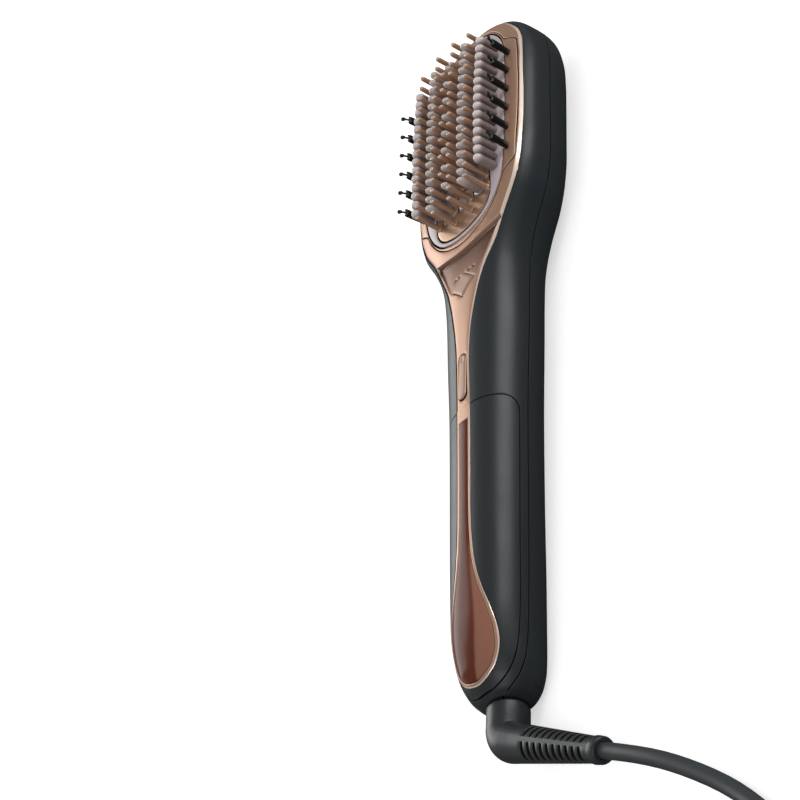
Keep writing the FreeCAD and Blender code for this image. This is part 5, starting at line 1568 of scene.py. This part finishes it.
# ---------------------------------------------------------------- brush face
@dataclass
class BrushFace:
    """Pin frame, heater plate with pins, clear combs, lavender guard and black bristles."""

    pad_half: float = 24.6
    pad_tall: float = 48.5
    line_half: float = 0.36
    window_wide: float = 6.0
    window_x: float = 9.6
    centre_wide: float = 5.6
    window_gap: float = 0.15
    window_corner: float = 1.8
    round_corner: float = 2.0
    row_pitch: float = 4.3
    blade_tall: float = 9.5
    guard_x: float = 19.2
    bristle_x: float = 25.4
    bristle_foot: float = 29.0
    lean: float = 2.0
    bristle_tall: float = 14.3
    ball: float = 0.84

    def __post_init__(self) -> None:
        """Rows of blades and of bristles along the face."""
        self.rows = [129.7 - self.row_pitch * k for k in range(17)]
        self.bristle_rows = [119.2 - 9.6 * k for k in range(6)]
        self.repeater = Repeater()

    def pad_loop(self, grow: float) -> Loop:
        """Outline of the lavender pad."""
        right = [(x * self.pad_half, y * self.pad_tall) for x, y in FORM.pad_edge]
        return moved_in(FORM.outline(right + [(x, -y) for x, y in right[-2::-1]]), -grow)

    def plate_loop(self, grow: float) -> Loop:
        """Outline of the heater plate: two curved ends joined by straight sides.

        Args:
            grow: how far it is moved out.

        Returns:
            The loop's points.
        """
        right = np.array(FORM.plate_end, float)
        top = smooth_line(np.concatenate([right[::-1] * [-1, 1], right[1:]]), False, 0.6)
        points = np.concatenate([top, top[::-1] * [1, -1]]) + [0, FORM.face_mid]
        return moved_in(dense(points, 0.8), -grow)

    def windows(self) -> list[tuple[float, float, float, float]]:
        """Every window of the plate as (x, width, low, high).

        Returns:
            One row for each window.
        """
        rows, wide, made = self.rows, self.centre_wide, []
        for first, last in ((0, 3), (4, 6), (7, 9), (10, 12), (13, 16)):
            low = rows[last] - (2.5 if last == 16 else 1.45)
            high = rows[first] + (1.6 if first == 0 else 1.45)
            made += [(side * self.window_x, self.window_wide, low, high) for side in (-1, 1)]
        return [*made, (0.0, wide, rows[1] - 1.45, rows[1] + 7.2),
                *((0.0, wide, rows[k] - 2.1, rows[k] + 2.1) for k in (3, 5, 7, 9, 11, 13)),
                (0.0, wide, rows[15] - 7.6, rows[15] + 1.45)]

    def window_loop(self, spot: tuple[float, float, float, float], grow: float) -> Loop:
        """Outline of one window."""
        x, wide, low, high = spot
        corner = self.round_corner if high - low < 5.0 else self.window_corner
        return rounded_slot(wide, low, high, x, corner, grow, 0.45)

    def plates(self) -> list[tuple[Object, str]]:
        """Frame, guard pad's sheet and heater plate, each with the node that it stands for.

        Returns:
            (object, node) pairs.
        """
        feet = [rounded_slot(1.6, y - 1.2, y + 1.2, side * (self.bristle_x + 0.38), 0.7, 0.0, 0.3)
                for side in (-1, 1) for y in self.bristle_rows]
        windows = [self.window_loop(w, self.window_gap / 2) for w in self.windows()]
        soft = ((0.45, 0.0), (0.3, 0.03), (0.12, 0.12), (0.03, 0.28), (0.0, 0.5))
        line, made = self.line_half, []
        for name, node, finish, loop, holes, pitch, edge, sharp in (
                ("PinFrame", "pin_frame", ROSE_GOLD,
                 moved_in(FORM.outline(FORM.frame_line), 0.2), [self.pad_loop(line), *feet],
                 1.3, FINE_EDGE, 48),
                ("GuardSheet", "", LAVENDER, self.pad_loop(-line), [self.plate_loop(line)],
                 1.3, soft, 50),
                ("HeaterPlate", "", BRONZE, self.plate_loop(-line), windows, 1.2, FINE_EDGE,
                 48)):
            # The walls take the dark second finish: painted shade in the gaps round each plate.
            shape = Shape()
            Panel(loop, FORM.top, holes, deep=2.2, pitch=pitch, edge=edge,
                  hole_edge=FINE_EDGE).into(shape)
            made.append((shape.object(name, finish, BLACK_AND_GAP_SHADE, sharp=sharp), node))
        return made

    def pins(self) -> Object:
        """The heater plate's pins.

        Returns:
            The object.
        """
        spots = [(x, 133.5 - 5.27 * k) for x in (-4.9, 4.9) for k in range(16)]
        spots += [(x, 130.7 - 5.54 * k) for x in (-14.6, 14.6) for k in range(14)]
        spots += [(0.0, y) for y in self.rows[2:15:2]]
        radii, highs = np.array([
            (1.5, -0.3), (1.42, 0.0), (1.24, 0.12), (1.1, 0.35), (1.04, 0.8), (1.0, 2.0),
            (0.97, 6.0), (0.95, 9.2), (0.9, 9.95), (0.78, 10.4), (0.56, 10.66), (0.3, 10.77),
            (1e-4, 10.8)]).T[:, :, None]
        angles = np.linspace(0, 2 * math.pi, 20, endpoint=False)
        piece = Shape()
        piece.grid(np.stack([radii * np.cos(angles), radii * np.sin(angles),
                             highs + 0 * angles], -1), ring=True)
        return self.repeater.make("Pins", piece, [(x, y, float(FORM.top(x, y))) for x, y in spots],
                                  PIN_BRONZE, size_play=0.006, seed=11)

    @staticmethod
    def blade(wide: float, thick: float, tall: float, drop: float, foot: float) -> Shape:
        """A paddle with an arched top and rounded edges, standing on its foot.

        Args:
            wide: its width.
            thick: its thickness.
            tall: its height.
            drop: how far the arch falls at its ends.
            foot: how far it reaches below its foot.

        Returns:
            The blade.
        """
        half, t = wide / 2, thick / 2
        arch = [(x, tall - drop * (x / half) ** 2) for x in np.linspace(half, -half, 13)]
        outline = dense([*arch, (-half, tall - drop - 0.5), (-half, -foot), (half, -foot),
                         (half, tall - drop - 0.35)], 1.1)
        shape = Shape()
        slab(shape, outline, [(min(0.85, t) * (1 - math.sin(a)), -math.cos(a) * t)
                              for a in np.linspace(0, math.pi, 11)])
        return shape

    def on_face(self, x: float, rows: Sequence[float], sunk: float) -> list[tuple]:
        """Places on the crowned face, one for each row."""
        return [(x, y, float(FORM.arc_high(y)) - sunk) for y in rows]

    def combs(self) -> list[tuple[Object, str]]:
        """Clear windows and the blades on them, one comb for each column.

        Returns:
            (object, node) pairs.
        """
        made = []
        for side, x, rows, wide in (("left", -self.window_x, self.rows, 3.4),
                                    ("centre", 0.0, self.rows[1::2], 3.2),
                                    ("right", self.window_x, self.rows, 3.4)):
            shape = Shape()
            for spot in self.windows():
                if abs(spot[0] - x) < 1:
                    Panel(self.window_loop(spot, -self.window_gap / 2),
                          lambda a, b: FORM.top(a, b) - 0.12, deep=1.6, pitch=1.4,
                          edge=((0.5, 0.0), (0.3, 0.04), (0.1, 0.16), (0.0, 0.4)),
                          wall=0).into(shape)
            made.append((shape.object(f"CombPanes{side.title()}", SMOKE, sharp=48), ""))
            made.append((self.repeater.make(
                f"CombBlades{side.title()}", self.blade(wide, 1.7, self.blade_tall, 1.1, 0.4),
                self.on_face(x, rows, 0.05), SMOKE, size_play=0.004, lean_play=0.006, seed=23),
                f"window_comb_{side}"))
        return made

    def guard(self) -> Object:
        """Lavender paddles that stand in a row on either side of the plate.

        Returns:
            The object.
        """
        places = [spot for side in (-1, 1)
                  for spot in self.on_face(side * self.guard_x, self.rows[1:16], 0.3)]
        return self.repeater.make("GuardBlades", self.blade(3.9, 2.5, 9.3, 1.5, 0.6), places,
                                  GUARD_BLADE, size_play=0.004, lean_play=0.008, seed=31)

    def bristle(self, side: int) -> Shape:
        """One flat bristle with two shoulders, and a neck that bends outwards to its ball.

        Args:
            side: 1 on the right and -1 on the left.

        Returns:
            The bristle.
        """
        angles = np.linspace(0, 2 * math.pi, 28, endpoint=False)
        across, along = np.cos(angles), np.sin(angles)
        flat_x, flat_y = (np.sign(w) * np.abs(w) ** 0.7 for w in (across, along))
        rows = []
        for high, long, wide, horn in (
                (0.0, 1.35, 0.92, 0.0), (4.0, 1.45, 0.9, 0.0), (10.3, 1.72, 0.84, 0.0),
                (10.75, 1.7, 0.82, 0.28), (10.95, 1.6, 0.76, 0.6), (11.05, 1.44, 0.68, 0.75),
                (11.1, 1.2, 0.58, 0.7), (11.15, 0.8, 0.49, 0.28), (11.3, 0.46, 0.43, 0.0)):
            rows.append(np.column_stack([side * (0.15 + 0.06 * high) + wide * flat_x,
                                         long * flat_y, high + horn * np.abs(along) ** 6]))
        reach = self.bristle_tall - self.ball
        balls = [(reach - self.ball * math.cos(a), self.ball * math.sin(a))
                 for a in np.linspace(0.5, math.pi, 12)]
        for high, radius in [(11.8, 0.41), (12.3, 0.4), (12.8, 0.4)] + balls:
            share = min((high - 11.3) / (reach - 11.3), 1.0)
            out = side * (0.83 + (self.lean - 0.83) * share ** 1.3)
            radius = max(radius, 1e-4)
            rows.append(np.column_stack([out + radius * across, radius * along,
                                         np.full(len(angles), high)]))
        shape = Shape()
        shape.grid(np.array(rows), ring=True)
        return shape

    def bristles(self) -> list[tuple[Object, str]]:
        """Six stiff black bristles with ball tips on either side.

        Returns:
            (object, node) pairs.
        """
        return [(self.repeater.make(
            f"Bristles{name.title()}", self.bristle(side),
            [(side * self.bristle_x, y, self.bristle_foot) for y in self.bristle_rows],
            BRISTLE, size_play=0.003, seed=41), f"bristle_strip_{name}")
            for side, name in ((-1, "left"), (1, "right"))]


# ---------------------------------------------------------------- elbow and lead
@dataclass
class Elbow:
    """Rubber elbow on the swivel, with slotted strain relief."""

    high: float = 10.0
    collar: float = 7.4
    bore: float = 4.0
    bend: tuple = (7.25, -159.3)
    arm_foot: float = -163.5
    arm_turn: float = 61.0
    arm_long: float = 56.4
    start: float = 7.0
    end: float = 4.1
    first_slot: float = 17.5
    pitch: float = 3.45
    slots: int = 10
    half_span: float = 38.0
    slot_half: float = 1.0
    deep: float = 2.3

    def ring(self, x: Number, y: Number, radius: Number, turn: float,
             angles: np.ndarray) -> np.ndarray:
        """Ring of points about a place in plan, square to a heading of turn degrees from -Y."""
        side, out = math.radians(turn), radius * np.cos(angles)
        return np.stack([x - math.cos(side) * out, y - math.sin(side) * out,
                         self.high + radius * np.sin(angles)], -1)

    def make(self) -> Object:
        """Build the whole elbow as one skin.

        Returns:
            The object.
        """
        span, collar = self.half_span, self.collar
        off = np.array([-45, -41.5, -span, -span + 0.4, -span + 1.5, -span + 4, -31, -24, -16,
                        -8, 0, 8, 16, 24, 31, span - 4, span - 1.5, span - 0.4, span, 41.5])
        angles = np.radians(np.concatenate([45.0 + 90.0 * q + off for q in range(4)]))
        off = np.tile(np.abs(off), 4)
        width = self.slot_half * np.sqrt(np.clip(1 - (off / span) ** 4, 0, 1))
        slotted = width > 0
        rows = [self.ring(0.0, y, radius, 0.0, angles) for radius, y in (
            (self.bore, -152.6), (self.bore, -151.0), (collar - 0.7, -151.0),
            (collar - 0.32, -151.08), (collar - 0.08, -151.32), (collar, -151.7),
            (collar, -154.2), (collar, -156.9))]
        for turn in (0, 5, 10, 16, 22, 28, 34, 40, 46, 52, 57, self.arm_turn):
            radius = collar + (self.start - collar) * turn / self.arm_turn
            x, y = (c - f(math.radians(turn)) * (radius + 0.02)
                    for c, f in zip(self.bend, (math.cos, math.sin)))
            rows.append(self.ring(x, y, radius, turn, angles))
        heading = math.radians(90 - self.arm_turn)

        def arm(s: Number, depth: Number = 0.0) -> np.ndarray:
            """Ring of the straight arm at a run from its foot, sunk by a depth."""
            radius = self.start + (self.end - self.start) * s / self.arm_long - depth
            return self.ring(math.cos(heading) * s, self.arm_foot - math.sin(heading) * s,
                             radius + 0 * angles, self.arm_turn, angles)

        rows += [arm(s) for s in (8.0, 10.5, 13.0, 15.0)]
        # Rows inside each slot take the dark second finish: painted shade in the slots.
        dark = set()
        for k in range(self.slots):
            dark |= {len(rows) + 2, len(rows) + 3, len(rows) + 4}
            for share, lip, depth in ((-1, -0.12, 0.0), (-1, 0.0, 0.06), (-0.93, 0.0, 0.22),
                                      (-0.9, 0.0, self.deep), (0.9, 0.0, self.deep),
                                      (0.93, 0.0, 0.22), (1, 0.0, 0.06), (1, 0.12, 0.0)):
                rows.append(arm(self.first_slot + self.pitch * k + share * width
                                + lip * slotted, depth * slotted))
        rows += [arm(s, depth) for s, depth in (
            (51.0, 0.0), (52.6, 0.0), (52.75, -0.28), (53.1, -0.42), (55.6, -0.42),
            (56.1, -0.3), (56.4, 0.0), (56.4, 1.1), (55.6, 1.2))]
        shape = Shape()
        shape.grid(np.array(rows), ring=True,
                   strips=[int(k in dark) for k in range(len(rows) - 1)])
        return shape.object("CordElbow", ELBOW_RUBBER, BLACK_AND_GAP_SHADE, sharp=42, merge=2e-3,
                            outward=True)


@dataclass
class Lead:
    """The mains lead: one run from the elbow through the tied coil to the plug.

    Layers are the coil's turns as (radius, height).
    """

    radius: float = 2.8
    route: tuple = ((49.33, -190.84, 10.0), (66.0, -200.1, 9.8), (84.5, -212.5, 7.2),
                    (103.5, -228.5, 3.8), (121.0, -249.0, 3.3))
    tail: tuple = ((72.0, -324.5, 12.5), (50.5, -308.0, 8.2), (44.0, -281.0, 6.9))
    centre: tuple = (100.5, -287.0)
    layers: tuple = ((36.6, 3.5), (36.6, 9.1), (31.0, 9.1), (31.0, 3.5), (25.4, 3.5),
                     (25.4, 9.1), (25.4, 14.7), (31.0, 14.7), (36.6, 14.7))
    start_angle: float = 21.0
    total: float = 2991.0
    pieces: int = 150
    change: float = 27.7
    length: float = 1.83

    def points(self) -> list[tuple[float, float, float]]:
        """Control points of the lead's centre line.

        Returns:
            (x, y, z) places.
        """
        span = self.total / len(self.layers)
        places, levels = [], []
        for k, layer in enumerate(self.layers):
            rest = self.change if k < len(self.layers) - 1 else 0.0
            places += [k * span, (k + 1) * span - rest]
            levels += [layer, layer]
        radii, highs = np.array(levels).T
        grow = 1 / math.cos(math.radians(self.total / self.pieces / 2))
        coil = []
        for turn in np.linspace(0.0, self.total, self.pieces + 1):
            r, a = float(np.interp(turn, places, radii)) * grow, math.radians(
                self.start_angle - turn)
            coil.append((self.centre[0] + r * math.cos(a), self.centre[1] + r * math.sin(a),
                         float(np.interp(turn, places, highs))))
        return [*self.route, *coil, *self.tail]

    def make(self) -> Object:
        """Build the lead as one curve.

        Returns:
            The object.
        """
        curve = bpy.data.curves.new("MainsLead", "CURVE")
        curve.dimensions = "3D"
        curve.bevel_depth = self.radius * MM
        curve.bevel_resolution = 5
        curve.resolution_u = 4
        curve.use_fill_caps = True
        spline = curve.splines.new("NURBS")
        points = self.points()
        spline.points.add(len(points) - 1)
        for spot, (x, y, z) in zip(spline.points, points):
            spot.co = (x * MM, y * MM, z * MM, 1.0)
        spline.order_u = 3
        spline.use_endpoint_u = True
        curve.materials.append(PALETTE[RUBBER])
        log.info("MainsLead: %d points", len(points))
        return linked("MainsLead", curve)


# ---------------------------------------------------------------- what stays as it is
INTERNALS: dict[Finish, str] = {
    BLACK_AND_GAP_SHADE: "face_carrier contact_block valve_socket tact_switches tank_valve tank_seal "
           "filler_plug",
    ALUMINIUM: "pump steam_chamber", TRAY: "heater_tray", CERAMIC: "ptc_heater",
    STEEL: "tray_screws board_screws saddle_screws heater_clip thermostat thermal_fuse "
           "power_spring key_springs",
    LENS: "indicator_lens key_light", LED: "indicator_leds", BOARD: "control_board",
    HOSE: "inlet_hose steam_hose", SLEEVE: "heater_leads mains_leads",
    BRASS: "contact_fingers slip_rings", NYLON: "swivel_bush", RUBBER: "plug_body",
    NICKEL: "plug_pins", TIE: "coil_tie",
}


def give(obj: Object, body: str, *nodes: str) -> None:
    """Let a piece ride on a body and stand for its nodes.

    Args:
        obj: the piece.
        body: the body's name.
        nodes: names of the parts that it stands for, if any.
    """
    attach(obj, body)
    if any(nodes):
        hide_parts(*nodes)
    PALETTE.slots[obj.data.materials[0].name]


def dress_internals() -> None:
    """Put a finish on every part that is shown as it was built."""
    for finish, names in INTERNALS.items():
        for name in names.split():
            node = frame["nodes"][name]
            node.data.materials.clear()
            node.data.materials.append(PALETTE[finish])
            smooth(node.data, 30)
            PALETTE.slots[node.data.materials[0].name]
            log.info("%s: %s", name, finish.name)


# ---------------------------------------------------------------- studio
@dataclass
class Studio:
    """Camera, lights, world and floor."""

    yaw: float = 53.32
    pitch: float = 37.38
    roll: float = -0.678
    offset: tuple = (-13.944, 48.601, -1057.31)
    about: tuple = (0, -0.5, 34.0)
    lens: float = 133.79
    shift: tuple = (-0.12125, 0.08375)
    floor_half: float = 6.0

    def camera(self) -> None:
        """Place the camera."""
        turn = Matrix.Identity(3)
        for angle, axis in ((self.roll, "Z"), (-self.pitch, "X"), (-self.yaw, "Y")):
            turn = turn @ Matrix.Rotation(math.radians(angle), 3, axis)
        back = turn.transposed()
        data = bpy.data.cameras.new("Camera")
        data.lens, data.sensor_width = self.lens, 36.0
        data.shift_x, data.shift_y = self.shift
        data.clip_start, data.clip_end = 0.01, 50.0
        camera = linked("Camera", data)
        place = Vector(self.about) - back @ Vector(self.offset)
        camera.matrix_world = Matrix.Translation(place * MM) @ back.to_4x4()
        bpy.context.scene.camera = camera

    @staticmethod
    def area(name: str, place: tuple, aim: tuple, size: tuple, power: float) -> None:
        """Add a soft white rectangular light.

        Args:
            name: the light's name.
            place: where it hangs, in metres.
            aim: what it points at, in metres.
            size: its width and height, in metres.
            power: its power in watts.
        """
        data = bpy.data.lights.new(name, "AREA")
        data.shape = "RECTANGLE"
        data.size, data.size_y = size
        data.energy = power
        light = linked(name, data)
        light.location = place
        light.rotation_euler = (Vector(aim) - Vector(place)).to_track_quat("-Z", "Y").to_euler()

    @staticmethod
    def world() -> None:
        """White for the camera, plain grey light for everything else."""
        world = bpy.data.worlds.new("Studio")
        wires = emptied(world)
        ray = wires.add("ShaderNodeLightPath").outputs
        seen = wires.math("MAXIMUM", ray["Is Camera Ray"], ray["Is Transmission Ray"])
        level = wires.math("ADD", wires.math("MULTIPLY", seen, 0.6), 0.5)
        level = wires.math("SUBTRACT", level, wires.math("MULTIPLY", ray["Is Glossy Ray"], 0.22))
        back = wires.add("ShaderNodeBackground", Color=(1, 1, 1, 1), Strength=level)
        wires.add("ShaderNodeOutputWorld", in0=back.outputs[0])
        bpy.context.scene.world = world

    def floor(self) -> None:
        """White floor that keeps the brush's soft shadow."""
        mesh, far = bpy.data.meshes.new("Floor"), self.floor_half
        mesh.from_pydata([(-far, -far, 0), (far, -far, 0), (far, far, 0), (-far, far, 0)],
                         [], [(0, 1, 2, 3)])
        material = bpy.data.materials.new("floor_white")
        wires = emptied(material)
        ray = wires.add("ShaderNodeLightPath").outputs
        plain, dark = (wires.add("ShaderNodeBsdfDiffuse", Color=(level, level, level, 1))
                       for level in (0.86, 0.10))
        seen = wires.math("MAXIMUM", ray["Is Camera Ray"], ray["Is Transmission Ray"])
        glow = wires.add("ShaderNodeEmission", Color=(1, 1, 1, 1),
                         Strength=wires.math("MULTIPLY", seen, 0.55))
        both = wires.add("ShaderNodeAddShader", in0=plain.outputs[0], in1=glow.outputs[0])
        mixed = wires.add("ShaderNodeMixShader", in0=ray["Is Glossy Ray"],
                          in1=both.outputs[0], in2=dark.outputs[0])
        wires.add("ShaderNodeOutputMaterial", in0=mixed.outputs[0])
        mesh.materials.append(material)
        linked("Floor", mesh)

    def set_up(self) -> None:
        """Add all of it."""
        self.camera()
        self.world()
        self.floor()
        self.area("SideBox", (0.75, 0.60, 0.16), (0.0, 0.0, 0.02), (0.24, 1.2), 6.5)
        self.area("TopBox", (-1.45, 0.75, 0.72), (0.0, 0.05, 0.02), (1.1, 1.1), 12.0)
        self.area("FrontBox", (0.5, -1.2, 1.1), (0.0, 0.0, 0.02), (0.9, 0.9), 5.5)
        bpy.context.scene.view_settings.view_transform = "Standard"


# ---------------------------------------------------------------- all together
def build() -> None:
    """Build every piece and let it ride on its body."""
    shells, bezel, face, tank, lead = Shells(), Bezel(), BrushFace(), TankSkin(), Lead()
    give(shells.rear(), "housing", "rear_shell")
    give(shells.front(), "housing", "front_shell")
    give(bezel.bezel(), "housing", "front_bezel")
    give(bezel.button(), "power_button", "power_button")
    give(bezel.key(), "steam_key", "steam_key")
    for obj, node in face.plates():
        give(obj, "housing", node)
    give(face.pins(), "housing", "heater_plate")
    give(face.guard(), "housing", "guard_pad")
    for obj, node in [*face.combs(), *face.bristles()]:
        give(obj, "housing", node)
    give(tank.body(), "tank", "tank_body")
    give(tank.trim(), "tank", "tank_trim")
    give(tank.window(), "tank", "tank_window")
    elbow, flex = Elbow().make(), lead.make()
    give(elbow, "cord", "cord_elbow")
    give(flex, "cord", "mains_cord", "cord_coil", "cord_tail")
    dress_internals()
    nodes = frame["nodes"]
    nodes["coil_tie"]
    nodes["plug_body"]
    nodes["plug_pins"]


def main() -> None:
    """Build the brush and the studio."""
    build()
    Studio().set_up()


if __name__ == "__main__":
    main()
